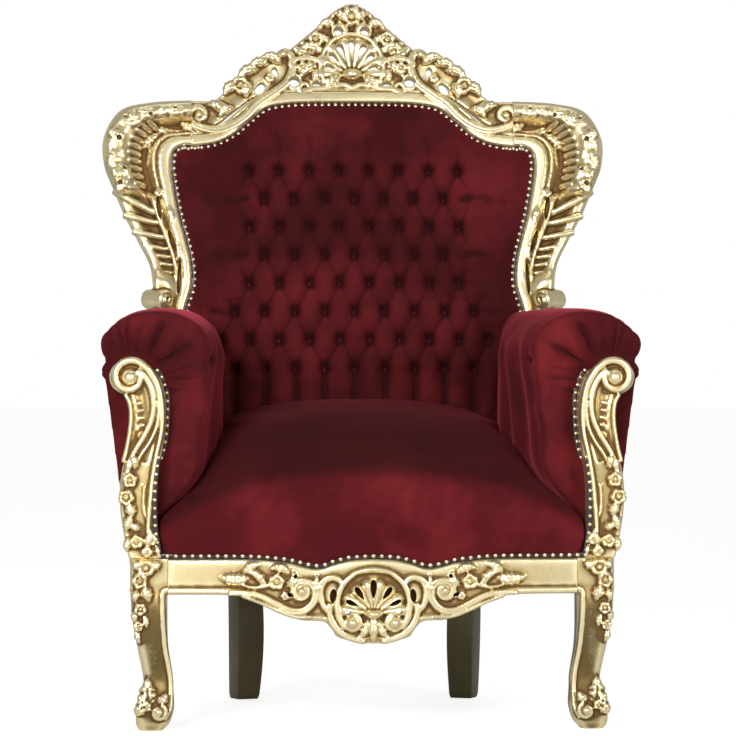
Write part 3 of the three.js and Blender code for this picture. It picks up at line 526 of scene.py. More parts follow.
def buildStile():
    wing["inner"], wing["outer"] = curveThrough(stileInner, 601), curveThrough(stileOuter, 601)
    forms = [moulding(backFace, stileInner, stileOuter, stileProfile, wing["thick"], 260)]
    # broad ribs that break over the wing's lower edge, then a run of short ones beside the band
    for (s0, a0), (s1, a1), wide, high in (((0.44, 0.535), (1.0, 0.6), 7.5, 17),
                                           ((0.42, 0.508), (1.02, 0.53), 6.5, 15),
                                           ((0.4, 0.47), (1.02, 0.488), 6, 14),
                                           ((0.4, 0.436), (0.95, 0.452), 4.6, 11),
                                           ((0.4, 0.412), (0.84, 0.422), 4, 9),
                                           ((0.4, 0.39), (0.8, 0.398), 3.6, 8),
                                           ((0.4, 0.368), (0.78, 0.374), 3.4, 7)):
        forms.append(scroll(backFace, wingPath([(s0, a0), (mixed(s0, s1, 0.35), mixed(a0, a1, 0.28)),
                                                (mixed(s0, s1, 0.7), mixed(a0, a1, 0.62)), (s1, a1)], 24),
                            lambda t, w=wide: w * (0.45 + 0.55 * np.sin(math.pi * (0.15 + 0.6 * t))),
                            lambda t, h=high: h * (0.5 + 0.5 * np.sin(math.pi * (0.1 + 0.75 * t))), -6,
                            groove=0.12))
    # the rim's lumpy inner edge, like a row of pearls over the cove
    for i, along in enumerate(np.linspace(0.612, 0.815, 10)):
        forms.append(scroll(backFace, wingPath([(0.44, along - 0.002), (0.53, along), (0.62, along + 0.001)],
                                               10),
                            lambda t: 5.4 * np.sin(math.pi * (0.25 + 0.5 * t)),
                            lambda t: 9 * np.sin(math.pi * (0.2 + 0.5 * t)),
                            lambda t: -6 + 18 * t))
    # loose leaf work over the rim
    for start, end, wide, high in (((0.98, 0.592), (0.7, 0.64), 12, 7),
                                   ((0.72, 0.612), (0.9, 0.668), 13, 6),
                                   ((0.94, 0.66), (0.8, 0.715), 14, 5),
                                   ((0.72, 0.675), (0.88, 0.72), 10, 4),
                                   ((0.9, 0.71), (0.82, 0.765), 15, 6), ((0.76, 0.76), (0.92, 0.79), 12, 5),
                                   ((0.9, 0.775), (0.74, 0.83), 13, 6), ((0.86, 0.815), (0.8, 0.87), 12, 6),
                                   ((0.72, 0.855), (0.9, 0.895), 11, 6),
                                   ((0.84, 0.88), (0.8, 0.94), 11, 6)):
        forms.append(leaf(backFace, wingPoint(*start), wingPoint(*end), wide, high, 0.14, 4, 19, 2))
    for share, along, size in ((0.84, 0.642, 10), (0.78, 0.8, 9), (0.9, 0.745, 8)):
        forms.append(flower(backFace, *wingPoint(share, along), size, 7, 5, 0.5, 20))
    # sprigs in the cove's corner and buds on the band
    forms.append(leaf(backFace, wingPoint(0.36, 0.665), wingPoint(0.4, 0.76), 9, 9, 0.12, 5, -7))
    forms.append(leaf(backFace, wingPoint(0.44, 0.72), wingPoint(0.36, 0.81), 9, 9, -0.1, 5, -7))
    forms.append(leaf(backFace, wingPoint(0.5, 0.82), wingPoint(0.36, 0.9), 9, 9, 0.15, 5, -6))
    forms.append(leaf(backFace, wingPoint(0.55, 0.9), wingPoint(0.4, 0.96), 9, 9, 0.15, 5, -4))
    forms.append(flower(backFace, *wingPoint(0.27, 0.588), 9, 8, 5, 0, 4))
    forms.append(flower(backFace, *wingPoint(0.17, 0.535), 6.5, 6, 5, 0.4, 7))
    forms.append(leaf(backFace, wingPoint(0.22, 0.5), wingPoint(0.16, 0.55), 6, 6, 0.1, 4, 6))
    forms.append(leaf(backFace, wingPoint(0.3, 0.4), wingPoint(0.24, 0.46), 5, 6, 0.1, 4, 4))
    # the knob below the wing: a short roll, its inner end coiled
    axis, across = np.array([0.82, 0.57, 0]), np.array([0.57, -0.82, 0])
    hub = np.array([334.0, 583.0, 712.0])

    def knobFace(x, up, out):
        return hub + x[..., None] * across + up[..., None] * [0, 0, 1] - out[..., None] * axis

    theta = np.linspace(0, 2 * math.pi, 40, endpoint=False)
    forms.append(loft([knobFace(r * np.cos(theta), r * np.sin(theta), -deep + 0 * theta) for r, deep in
                       ((15, 0), (17.5, 2), (18, 6), (17, 16), (18, 30), (17.5, 42), (14, 47))]))
    forms.append(scroll(knobFace, spiral(0, 0, 14.5, 3, 1.2, 1.5, 50), lambda t: 3 - 0.8 * t, 5, 0))
    piece = gathered("carvedWingRight", forms)
    remesh(piece, wing["voxel"], wing["smooth"])
    dimples = [pearl(backFace, *wingPoint(share, along), size, 26, 1.3) for share, along, size in
               ((0.86, 0.615, 5.5), (0.7, 0.655, 4.5), (0.92, 0.69, 4.5), (0.78, 0.735, 5),
                (0.86, 0.79, 4.5), (0.72, 0.84, 4.5), (0.82, 0.905, 4))]
    pockets = [prism(backFace, *wingPoint(share, along), wide, tall, lean, low=-9)
               for share, along, wide, tall, lean in
               ((0.335, 0.548, 4.5, 21, -0.12), (0.3, 0.462, 4.2, 20, -0.3), (0.33, 0.352, 4, 30, 0.05))]
    cut(piece, [sideCut((-10, jointX + 0.05), 1500, 900), sideCut((-100, 700), 283.4, -200)] + dimples
        + pockets)
    return finishCarving(piece, "back_stile_right", wing["triangles"])


# Front rail: the apron
apron = {"voxel": 1.8, "smooth": 2, "triangles": 150000, "thick": 30}
apronTop = [(335.1, 283), (300, 283), (261, 283), (225, 283.2), (191, 282.5), (160, 280), (134, 276.6),
            (113, 271), (95, 267.5), (80, 269), (67, 273.8), (50, 278.5), (33, 281.5), (0, 283)]
apronFoot = [(335.1, 224), (305, 224), (275, 224), (245, 223.5), (214, 221), (190, 213), (167, 203),
             (143, 191), (119, 182.5), (98, 181), (79, 178.5), (66, 165), (55, 153), (0, 143.5)]


def apronProfile(s, t):
    side = abs(2 * t - 1)
    plain = np.interp(s, [0, 0.04, 0.1, 0.6, 0.74, 0.79, 0.84, 0.96, 1], [0, 3, 4, 3, 3, 0, 6.5, 6.5, 2])
    carved = np.interp(s, [0, 0.04, 0.1, 0.5, 0.86, 0.93, 1], [0, 3, 4, 0, 1, 6, 2])
    mix = np.clip((0.72 - side) / 0.2, 0, 1)
    return plain * (1 - mix) + carved * mix


def buildApron():
    half = [
        # the C scroll round the shell
        scroll(frontFace, np.vstack([curveThrough([(30, 259), (48, 243), (58, 222), (59, 203), (55, 184),
                                                   (46, 170)], 40),
                                     spiral(35, 178, 13.5, 8, 2.2, 0.8, 20)]),
               lambda t: 4.2 + 1.5 * np.sin(math.pi * t), 10, 3, groove=0.3),
        pearl(frontFace, 35, 178, 9.5, 6, 1.15),
        scroll(frontFace, curveThrough([(14, 147), (34, 152), (52, 161), (66, 176), (72, 196), (70, 210)],
                                       46),
               lambda t: 4.5 + 1.5 * np.sin(math.pi * t), 9, 2, groove=0.35),
        scroll(frontFace, curveThrough([(71, 196), (82, 206), (87, 228), (81, 246), (66, 252), (54, 246),
                                        (52, 238)], 46),
               lambda t: 4 + 2 * np.sin(math.pi * t), 9, 2, groove=0.3),
        leaf(frontFace, (8, 186), (29, 149), 8, 8, -0.12, 3, 4, 1),
        # the long scroll that runs along the apron and curls back on itself
        scroll(frontFace, np.vstack([
            curveThrough([(236, 227), (208, 226.5), (184, 222), (160, 210), (136, 198), (114, 198),
                          (98, 212), (95, 232), (106, 246)], 70), spiral(117, 230, 17, 5, 2.2, -1.25, 40)]),
            lambda t: 4.5 + 2 * np.sin(math.pi * t), lambda t: 9 - 1.5 * t, 3, groove=0.35),
        scroll(frontFace, curveThrough([(214, 222), (184, 211), (156, 198), (128, 188), (100, 188)], 40),
               3.2, 7, 3),
        *each(leaf, frontFace, [
            ((204, 251), (250, 253), 12, 9, -0.06, 5, 2, 2), ((212, 258), (184, 274), 9, 8, -0.15, 4, 2, 2),
            ((178, 236), (208, 262), 8, 9, 0.2, 4, 3), ((138, 258), (170, 266), 9, 9, 0.2, 4, 2),
            ((142, 238), (130, 262), 8, 9, 0.2, 4, 2), ((82, 222), (92, 256), 8, 9, -0.15, 4, 2)]),
        scroll(frontFace, curveThrough([(214, 240), (196, 236), (178, 238), (164, 244)], 24),
               lambda t: 2 + 2.5 * t, 6, 3),
        flower(frontFace, 158, 245, 14, 12, 5, 0.4, 3),
        flower(frontFace, 144, 222, 8, 8, 5, 0, 3),
        pearl(frontFace, 117, 230, 7, 5, 1.2),
    ]
    piece = gathered("carvedApron", mirrored(half) + [
        moulding(frontFace, bothSides(apronTop), bothSides(apronFoot), apronProfile, apron["thick"], 260,
                 44),
        shell(frontFace, 0, 193, 56, 8, 3.3, 12, 2),
        scroll(frontFace, curveThrough([(-44, 248), (-30, 259), (-15, 263.5), (0, 265), (15, 263.5),
                                        (30, 259), (44, 248)], 50),
               lambda t: 4 + 2 * np.sin(math.pi * t), 9, 2),
        scroll(frontFace, curveThrough([(-15, 195), (-8, 193), (0, 192), (8, 193), (15, 195)], 20),
               lambda t: 2 + 5.5 * np.sin(math.pi * t) ** 0.7, lambda t: 4 + 11 * np.sin(math.pi * t) ** 0.7,
               6),
        leaf(frontFace, (0, 190), (0, 146), 10, 9, 0, 3, 5, 1),
    ])
    remesh(piece, apron["voxel"], apron["smooth"])
    holes = [prism(frontFace, 65.5, 222, 5.5, 11, 0.12, -22), prism(frontFace, 127, 254, 3.6, 3.2, 0, -16),
             prism(frontFace, 136, 224, 6, 3.6, 0.5, -16), prism(frontFace, 42, 194.5, 5.6, 4.2)]
    for angle, reach, wide, tall in ((0.6, 40, 4.6, 12.5), (1.12, 39, 3.8, 11)):
        holes.append(prism(frontFace, reach * math.sin(angle), 193 + reach * math.cos(angle), wide, tall,
                           -angle, -22, 0.4))
    holes = mirrored(holes)
    cut(piece, holes + [prism(frontFace, 0, 233, 5.2, 15, 0, -22, 0.4),
                        sideCut((apronHalf + 0.05, 600), 900, -200),
                        sideCut((-600, -apronHalf - 0.05), 900, -200)])
    return finishCarving(piece, "front_rail", apron["triangles"])


# Front legs
leg = {"voxel": 1.7, "smooth": 2, "triangles": 60000}
legStations = [  # height, left and right edge, front and rear edge
    (0, 344, 380, 14, 44), (4, 341, 384, 10, 46), (12, 333, 387, 3, 48), (24, 328, 387.5, -1, 50),
    (40, 324.5, 386, -4, 52), (56, 325, 381, -1, 52), (70, 325.8, 376.5, 3, 52), (84, 326, 375, 6, 54),
    (105, 329, 378.5, 5, 55), (135, 333.8, 384.5, -1, 55), (165, 335.4, 390, -6, 54),
    (191, 335.6, 394, -8.5, 54), (217, 335.6, 395.5, -8, 56), (232, 335.6, 396.4, -6.4, 57.6),
    (250, 335.6, 396.4, -6.4, 57.6), (283, 335.6, 396.4, -6.4, 57.6)]


def roundedSection(x0, x1, y0, y1, up, corner, count=9):
    points = []
    for cx, cy, start in ((x1 - corner, y0 + corner, -90), (x1 - corner, y1 - corner, 0),
                          (x0 + corner, y1 - corner, 90), (x0 + corner, y0 + corner, 180)):
        for a in np.radians(np.linspace(start, start + 90, count)):
            points.append((cx + corner * math.cos(a), cy + corner * math.sin(a), up))
    return points


def buildLeg():
    stations = curveThrough(legStations, 90)
    stations[:, 0] = np.clip(stations[:, 0], 0, 283)
    forms = [loft([roundedSection(x0 - 14 * smoothStep(up, 224, 230), x1, y0, y1, up, 6 if up > 226 else 12)
                   for up, x0, x1, y0, y1 in stations])]

    def toe(x, up, out):
        return postFace(x, up, out - 2)

    forms += [
        *each(flower, postFace, [
            (371, 268, 15, 13, 4, 0.8, 1), (381, 247, 14, 15, 5, 0, 1), (380, 201, 11, 14, 5, 0.9, 3),
            (383, 173, 9, 12, 5, 0.2, 1)]),
        *each(leaf, postFace, [
            ((364, 270), (347, 277), 9, 10, 0.1, 3, 1), ((384, 264), (392, 279), 8, 10, 0.1, 4, 0),
            ((378, 236), (366, 212), 11, 12, -0.12, 4, 2), ((384, 232), (388, 212), 8, 10, 0.1, 4, 1),
            ((386, 198), (388, 178), 8, 9, 0.1, 4, 0), ((376, 192), (370, 170), 7, 8, -0.1, 4, 0),
            ((384, 168), (380, 144), 7, 9, 0.1, 3, -3)]),
        # moulding that turns down from the rail and follows the leg's inner edge to the toe
        scroll(postFace, curveThrough([(326, 233), (338, 232), (344, 226), (344.5, 205), (343.5, 180),
                                       (342, 159), (339.5, 134), (334.5, 108), (331, 84), (330.5, 57),
                                       (332.5, 37), (341, 20)], 90),
               4.2, 5.2,
               lambda t: 0.6 - 9.5 * smoothStep(t, 0.25, 0.72) + 6 * smoothStep(t, 0.72, 1), groove=0.35),
        # the toe: a three-lobed leaf over a round scroll
        *each(leaf, toe, [
            ((362, 38), (367, 88), 17, 12, -0.08, 4, -7, 3), ((374, 34), (384, 60), 12, 12, 0.1, 4, -4, 4),
            ((352, 44), (338, 64), 10, 10, 0.1, 3, -3, 3), ((374, 42), (386, 26), 12, 11, 0.1, 4, -1, 2)]),
        flower(toe, 370, 42, 9, 11, 5, 0.2, 1),
        scroll(toe, spiral(350, 32, 13, 7, 1.9, 0.95, 36), lambda t: 4 - t, 8, 1, groove=0.2),
        pearl(toe, 350, 32, 7.5, 4),
    ]
    piece = gathered("carvedLegRight", forms)
    remesh(piece, leg["voxel"], leg["smooth"])
    cut(piece, [sideCut((200, 500), 0.05, -60), sideCut((200, 500), 400, 282.95),
                sideCut((200, 335.5), 300, 224.5)])
    return finishCarving(piece, "front_leg_right", leg["triangles"])


# Arm posts
post = {"voxel": 1.7, "smooth": 2, "triangles": 70000, "eyeX": 397, "eyeUp": 579}
postStations = [(283.4, 345, 398.5), (300, 347, 402), (330, 351, 408), (365, 352, 412.5), (400, 351.5, 413),
                (430, 348.5, 409), (455, 344, 402.5), (490, 339, 398), (528, 337.5, 399), (552, 339.5, 408),
                (575, 346, 416), (592, 358, 420)]


def buildPost():
    stations = curveThrough(postStations, 70)
    shaft = gathered("shaft", [loft([roundedSection(x0, x1, -5, 35.2, up, 5) for up, x0, x1 in stations])])
    # a wide hollow flute between the ropes and the outer edge, and a narrow one inside them
    cut(shaft, [gouge(postFace, curveThrough([(388, 566), (380, 548), (377, 522), (380, 495), (389, 470),
                                              (399, 444)], 40),
                      lambda t: 15 - 4 * t, 8),
                gouge(postFace, curveThrough([(352, 505), (357, 487), (366, 466), (374, 440)], 24), 6.5, 2)])
    coords = verticesOf(shaft.data) / mm - [0, yShift, 0]
    faces = [list(f.vertices) for f in shaft.data.polygons]
    bpy.data.objects.remove(shaft)
    forms = [(coords, faces)]
    theta = np.linspace(0, 2 * math.pi, 60, endpoint=False)
    eyeX, eyeUp = post["eyeX"], post["eyeUp"]

    def disc(r, y):
        return np.stack([eyeX + r * np.cos(theta), y + 0 * theta, eyeUp + 0.88 * r * np.sin(theta)], -1)

    forms.append(loft([disc(31, 35.2), disc(33, 32), disc(33.5, 2), disc(32, -2), disc(26, -4)]))
    forms += [
        # rim: up the inner edge, over the top and round the scroll
        scroll(postFace, np.vstack([
            curveThrough([(366, 290), (367, 330), (364, 375), (360, 415), (353, 455), (346, 487),
                          (344, 517), (347, 545), (354, 570), (367, 592)], 80),
            spiral(396.5, 579, 29.5, 15, 2.5, -1.02, 70)]),
            lambda t: 3.8 + 2.6 * smoothStep(t, 0.3, 0.5) * (1 - 0.4 * smoothStep(t, 0.6, 1)),
            lambda t: 6 + 5 * smoothStep(t, 0.3, 0.55), 0, groove=0.12),
        # two ropes that cross from the top of the inner edge to the outer edge below
        scroll(postFace, curveThrough([(384, 592), (371, 578), (361, 556), (358, 532), (362, 508),
                                       (373, 484), (388, 460), (399, 436), (403, 414)], 60),
               lambda t: 5.6 - 1.8 * t, lambda t: 10 - 2.5 * t, -1, groove=0.1),
        scroll(postFace, curveThrough([(360, 574), (352, 552), (350, 526), (353, 500), (363, 476),
                                       (379, 452), (390, 430)], 50),
               lambda t: 3.6 - 0.8 * t, lambda t: 8 - 2 * t, -1),
        # outer edge of the wide flute
        scroll(postFace, curveThrough([(404, 551), (397, 536), (395, 515), (397, 490), (402, 462),
                                       (408, 440)], 40), 3.4, 7, -1),
        pearl(postFace, eyeX, eyeUp, 14.5, -1, 1.15),
        # a bud, two rosettes on the outer edge, and a spray at the foot
        leaf(postFace, (390, 452), (384, 432), 8, 9, 0.1, 3, 1),
        leaf(postFace, (394, 446), (398, 424), 7, 8, 0.1, 3, 0),
        flower(postFace, 397, 411, 13, 13, 5, 0.3, 1), flower(postFace, 403, 383, 14, 13, 5, 0.8, 1),
        *each(leaf, postFace, [
            ((399, 400), (409, 424), 8, 9, 0.1, 4, 0), ((402, 372), (394, 350), 10, 10, -0.12, 4, 1),
            ((394, 352), (402, 328), 9, 9, 0.1, 4, 1), ((380, 330), (398, 336), 8, 9, 0.1, 4, 1)]),
        flower(postFace, 386, 311, 12, 13, 5, 0.1, 2), flower(postFace, 361, 314, 10, 11, 5, 0.6, 1),
        leaf(postFace, (375, 306), (362, 330), 7, 8, 0.12, 4, 1),
        leaf(postFace, (396, 318), (402, 294), 8, 9, 0.1, 4, 0),
        flower(postFace, 369, 294, 10, 11, 4, 0, 2), leaf(postFace, (352, 304), (348, 288), 5, 6, 0.1, 3, 0),
        scroll(postFace, curveThrough([(374, 402), (375, 380), (374, 360), (368, 345)], 20), 1.6, 2.6, -1),
    ]
    for i in range(5):
        x, up = 383 - 1.5 * i, 531 - 12 * i
        forms.append(leaf(postFace, (x - 6, up + 6), (x + 7, up - 4), 3.2, 3.2, 0.25, 2, -5 + 0.6 * i, 1, 14,
                          9))
    piece = gathered("carvedPostRight", forms)
    remesh(piece, post["voxel"], post["smooth"])
    cut(piece, [sideCut((200, 500), 283.4, -60)])
    return finishCarving(piece, "arm_post_right", post["triangles"])


carved = []
for build, twin, node in ((buildCrest, None, None), (buildStile, "carvedWingLeft", "back_stile_left"),
                          (buildApron, None, None), (buildLeg, "carvedLegLeft", "front_leg_left"),
                          (buildPost, "carvedPostLeft", "arm_post_left")):
    piece = build()
    carved.append(piece)
    if twin:
        copy = mirrorCopy(piece, twin)
        shadeSmooth(copy)
        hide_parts(node)
        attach(copy, "root")
        carved.append(copy)
    print("throne:", piece.name, len(piece.data.polygons), "faces")


# Back legs: raked sabre legs of dark painted wood
backLeg = {"middle": 196.5, "rear": 568.5, "wide": 46, "deep": 47, "kick": 34, "top": 223.8, "corner": 3,
           "splay": -22}


def buildBackLeg():
    rings = []
    lean = math.radians(backLeg["splay"])
    for up in np.linspace(0, backLeg["top"], 60):
        share = up / backLeg["top"]
        rear = backLeg["rear"] + backLeg["kick"] * (1 - share) ** 2 - 8 * math.sin(math.pi * share)
        trim = 1 - 0.08 * math.exp(-(up / 4) ** 2)
        swell = 1 + 0.07 * math.sin(math.pi * share) - 0.1 * (1 - share) ** 3
        wide, deep = backLeg["wide"] * trim * swell / 2, backLeg["deep"] * trim * swell / 2
        ring = np.array(roundedSection(-wide, wide, -deep, deep, up, backLeg["corner"], 5))
        turned = np.stack([ring[:, 0] * math.cos(lean) - ring[:, 1] * math.sin(lean) + backLeg["middle"]
                           - 3 * math.sin(math.pi * share),
                           ring[:, 0] * math.sin(lean) + ring[:, 1] * math.cos(lean) + rear, ring[:, 2]], -1)
        rings.append(turned)
    piece = gathered("sabreLegRight", [loft(rings)])
    shadeSmooth(piece)
    return piece


# The panel between the stiles, as one closed outline
def panelOutline():
    inner = curveThrough(stileInner[:-1], 150)
    top = curveThrough(archInner, 130)
    right = np.vstack([inner, top[1:]])
    return np.vstack([right, (right[:-1] * [-1, 1])[::-1]])


def nearestOnLine(points, line):
    # distance and closest point for each of the points
    best = np.full(len(points), 1e9)
    where = np.zeros((len(points), 2))
    for a, b in zip(line, np.roll(line, -1, 0)):
        ab = b - a
        share = np.clip(((points - a) @ ab) / (ab @ ab + 1e-12), 0, 1)
        on = a + share[:, None] * ab
        d = np.hypot(*(points - on).T)
        closer = d < best
        best[closer], where[closer] = d[closer], on[closer]
    return best, where


def insideLine(points, line):
    x, y = points.T
    odd = np.zeros(len(points), bool)
    for (ax, ay), (bx, by) in zip(line, np.roll(line, -1, 0)):
        crosses = (ay > y) != (by > y)
        with np.errstate(divide="ignore", invalid="ignore"):
            odd ^= crosses & (x < (bx - ax) * (y - ay) / (by - ay + 1e-12) + ax)
    return odd


# A grid that ends on an outline: the points next to the line are drawn onto it
def fittedGrid(line, cell, inset):
    low, high = line.min(0) - cell, line.max(0) + cell
    columns, rows = (int(math.ceil((high[k] - low[k]) / cell)) + 1 for k in (0, 1))
    x = (np.arange(columns) - (columns - 1) / 2) * cell
    u = low[1] + np.arange(rows) * cell
    points = np.stack(np.meshgrid(x, u), -1).reshape(-1, 2)
    distance, where = nearestOnLine(points, line)
    signed = np.where(insideLine(points, line), distance, -distance) - inset
    good = (signed > -0.5 * cell).reshape(rows, columns)
    cells = good[:-1, :-1] & good[1:, :-1] & good[:-1, 1:] & good[1:, 1:]
    j, i = np.nonzero(cells)
    a = j * columns + i
    quads = np.stack([a, a + 1, a + 1 + columns, a + columns], -1)
    used, flat = np.unique(quads, return_inverse=True)
    quads = flat.reshape(-1, 4)
    points, signed, where = points[used], signed[used], where[used]
    edges = np.sort(np.vstack([quads[:, [0, 1]], quads[:, [1, 2]], quads[:, [2, 3]], quads[:, [3, 0]]]), 1)
    unique, count = np.unique(edges, axis=0, return_counts=True)
    border = np.unique(unique[count == 1])
    toward = points[border] - where[border]
    side = np.where(signed[border] > -inset, 1, -1)[:, None]
    toward = side * toward / (np.linalg.norm(toward, axis=1)[:, None] + 1e-9)
    points[border] = where[border] + toward * inset
    signed[border] = 0
    return points, quads, np.maximum(signed, 0)


def rimEdges(quads):
    directed = np.vstack([quads[:, [0, 1]], quads[:, [1, 2]], quads[:, [2, 3]], quads[:, [3, 0]]])
    known = {(a, b) for a, b in directed.tolist()}
    return [(a, b) for a, b in known if (b, a) not in known]


# A closed pad from a fitted grid, with a front surface and a flat or crowned rear one
def slabFrom(points, quads, front, rear):
    n = len(points)
    x, up = points.T
    verts = np.vstack([backFace(x, up, front), backFace(x, up, rear)])
    faces = quads.tolist() + (quads[:, ::-1] + n).tolist()
    faces += [[b, a, a + n, b + n] for a, b in rimEdges(quads)]
    return verts, faces


# Tufted back
tufting = {"pitch": 53.4, "rowPitch": 51, "topRow": 947.9, "rows": 8, "crown": 34, "pit": 18, "pillow": 9,
           "crease": 3.5, "cell": 3.6, "pinch": 26, "button": 5.6}


def buttonPlaces():
    places = []
    for row in range(tufting["rows"]):
        reach = (4.6 if row > 4 else 3.8) * tufting["pitch"]
        for i in range(-10, 11):
            x = i * tufting["pitch"] / 2
            if (i + row) % 2 and abs(x) < reach:
                places.append((x, tufting["topRow"] - row * tufting["rowPitch"], row))
    return places


def tuftedHeight(x, up, inward):
    across = np.minimum(1, abs(x) / panelHalf)
    along = np.clip((up - panelFoot) / panelTall, 0, 1)
    crown = tufting["crown"] * (1 - across**2) * np.minimum(1, 6 * (1 - along) + 0.1)
    height = 3 + (crown + 12) * smoothStep(inward, -2, 34) ** 0.8
    # folds wander a little, so no two diamonds are alike
    sway = 1.3 * np.sin(0.045 * up + 1.1) * np.cos(0.021 * x) + 1.1 * np.sin(0.033 * x + 0.027 * up)
    u = (x + sway) / (tufting["pitch"] / 2)
    v = (tufting["topRow"] - up - 1.2 * np.sin(0.05 * x)) / tufting["rowPitch"]
    last = tufting["rows"] - 1
    reach = np.where(v > 4.5, 9.2, 7.6)
    field = (smoothStep(v, -0.25, 0.1) * smoothStep(last + 0.25 - v, 0, 0.35)
             * smoothStep(reach - abs(u), -0.5, 0.4))
    p, q = (u + v) / 2 - 0.5, (u - v) / 2 - 0.5
    a = 1 - 2 * abs(p - np.round(p))
    b = 1 - 2 * abs(q - np.round(q))
    most, least = np.maximum(a, b), np.minimum(a, b)
    folds = tufting["pillow"] * (0.55 * most**2 + 0.45 * least**2) + tufting["crease"] * most**7
    above = smoothStep(-v, -0.1, 0.15) * np.exp(-np.maximum(-v, 0) / 0.55) * smoothStep(8.3 - abs(u), 0, 0.5)
    below = smoothStep(v, last - 0.1, last + 0.2) * smoothStep(10 - abs(u), 0, 0.6)
    pleatsUp = abs(np.cos(math.pi * (u - 1) / 2))
    pleatsDown = abs(np.cos(math.pi * u / 2))
    folds = folds * field + above * (8 * pleatsUp**2 + 6 * pleatsUp**12)
    folds = folds + below * (8 * pleatsDown**2 + 7 * pleatsDown**10) * np.exp(-np.maximum(v - last, 0) / 6)
    # long folds from the outer buttons to the frame
    for row in (1, 3, 5):
        start = 7.0 if row < 5 else 8.6
        beyond = abs(u) - start
        line = v - row - 0.05 * np.sin(2.1 * u)
        wide = 0.13 + 0.05 * np.maximum(beyond, 0)
        bulge = smoothStep(beyond, -0.6, 0.3) * np.exp(-(line / wide) ** 2)
        folds = folds + bulge * 8 * np.exp(-np.maximum(beyond, 0) / 2.5)
        folds = folds - smoothStep(beyond, 0, 1) * 3 * np.exp(-((line + 0.4) / 0.35) ** 2)
    for bx, bup, _ in buttonPlaces():
        near = ((x - bx) / 9.5) ** 2 + ((up - bup) / np.where(up > bup, 12.5, 8.5)) ** 2
        folds = folds + tufting["pit"] * np.exp(-near) * (0.6 + 0.4 * smoothStep(inward, 0, 20))
    crumple = (0.5 * np.sin(0.19 * x + 0.6 * np.sin(0.05 * up)) * np.sin(0.033 * up)
               + 0.45 * np.sin(0.083 * up + 0.12 * x))
    return np.maximum(height - folds * smoothStep(inward, 0, tufting["pinch"])
                      + crumple * smoothStep(inward, 5, 25), 1.2)


def buildBackCushion():
    points, quads, inward = fittedGrid(panelOutline(), tufting["cell"], panelGap)
    front = tuftedHeight(points[:, 0], points[:, 1], inward)
    verts, faces = slabFrom(points, quads, front, np.full(len(points), -20.5))
    verts[:, 2] = np.maximum(verts[:, 2], padFoot)
    piece = gathered("tuftedBack", [(verts, faces)])
    shadeSmooth(piece)
    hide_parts("back_cushion")
    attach(piece, "root")
    return piece


def buildButtons():
    forms = []
    for x, up, _ in buttonPlaces():
        there = tuftedHeight(np.array([x]), np.array([up]), np.array([60.0]))[0]
        forms.append(pearl(backFace, x, up, tufting["button"], there - 0.6, 0.75))
    piece = gathered("coveredButtons", forms)
    shadeSmooth(piece)
    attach(piece, "root")
    return piece


outsideBack = {"cell": 8, "swell": 4.5, "rear": 46}


# The plain upholstered outside of the back
def buildOuterBack():
    points, quads, inward = fittedGrid(panelOutline(), outsideBack["cell"], panelGap)
    x, up = points.T
    ripple = 0.8 * np.sin(0.018 * up + 0.5) * np.sin(0.024 * x)
    rear = (-outsideBack["rear"] - outsideBack["swell"] * smoothStep(inward, 0, 120)
            - ripple * smoothStep(inward, 10, 60))
    verts, faces = slabFrom(points, quads, np.full(len(points), -22.5), rear)
    verts[:, 2] = np.maximum(verts[:, 2], padFoot)
    piece = gathered("outsideBack", [(verts, faces)])
    shadeSmooth(piece)
    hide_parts("outer_back")
    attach(piece, "root")
    return piece


fabric = {"quality": 5, "mass": 0.3, "tension_stiffness": 12, "compression_stiffness": 12,
          "shear_stiffness": 6, "bending_stiffness": 0.6, "use_pressure": True}
clothFrames = 20


# Cloth pass: the pad is blown up as fabric over its filling, no point further than the cap
def plumped(piece, voxel, pressure, cap, held, smooth=3):
    fuse = piece.modifiers.new("fuse", "REMESH")
    fuse.mode = "VOXEL"
    fuse.voxel_size = voxel * mm
    applyModifiers(piece)
    before = verticesOf(piece.data)
    group = piece.vertex_groups.new(name="held")
    free = held(before / mm)
    for level in np.unique(np.round(free, 1)):
        group.add(np.nonzero(np.round(free, 1) == level)[0].tolist(), 1 - float(level), "REPLACE")
    cloth = piece.modifiers.new("cloth", "CLOTH")
    for setting, value in fabric.items():
        setattr(cloth.settings, setting, value)
    cloth.settings.uniform_pressure_force = pressure
    cloth.settings.vertex_group_mass = "held"
    cloth.settings.effector_weights.gravity = 0
    cloth.collision_settings.use_collision = False
    cloth.point_cache.frame_start, cloth.point_cache.frame_end = 1, clothFrames
    for frameNow in range(1, clothFrames + 1):
        bpy.context.scene.frame_set(frameNow)
    graph = bpy.context.evaluated_depsgraph_get()
    after = verticesOf(bpy.data.meshes.new_from_object(piece.evaluated_get(graph)))
    piece.modifiers.clear()
    piece.vertex_groups.clear()
    bpy.context.scene.frame_set(1)
    move = after - before
    length = np.linalg.norm(move, axis=1)[:, None] + 1e-12
    move *= np.tanh(length / (cap * mm)) * cap * mm / length * free[:, None]
    before = before + move
    moveVertices(piece.data, before)
    soften = piece.modifiers.new("soften", "SMOOTH")
    soften.factor, soften.iterations = 0.5, smooth
    fine = piece.modifiers.new("fine", "SUBSURF")
    fine.levels = fine.render_levels = 1
    applyModifiers(piece)
    shadeSmooth(piece)


# Arms
arm = {"front": 36.3, "rear": 605, "rollUp": 630, "wide": 92, "thick": 62, "frontX": 352, "rearX": 294.25,
       "narrow": 0.84, "slim": 0.5, "foot": 283.8, "lip": 575.4, "voxel": 5.4, "pressure": 4, "cap": 8,
       "start": 0.985, "proud": 7}
gathers = {"x": 392, "up": 575, "reach": 134, "lift": 4, "proud": 13}  # pleats round the scroll
armButton = {"y": 70, "up": 606}
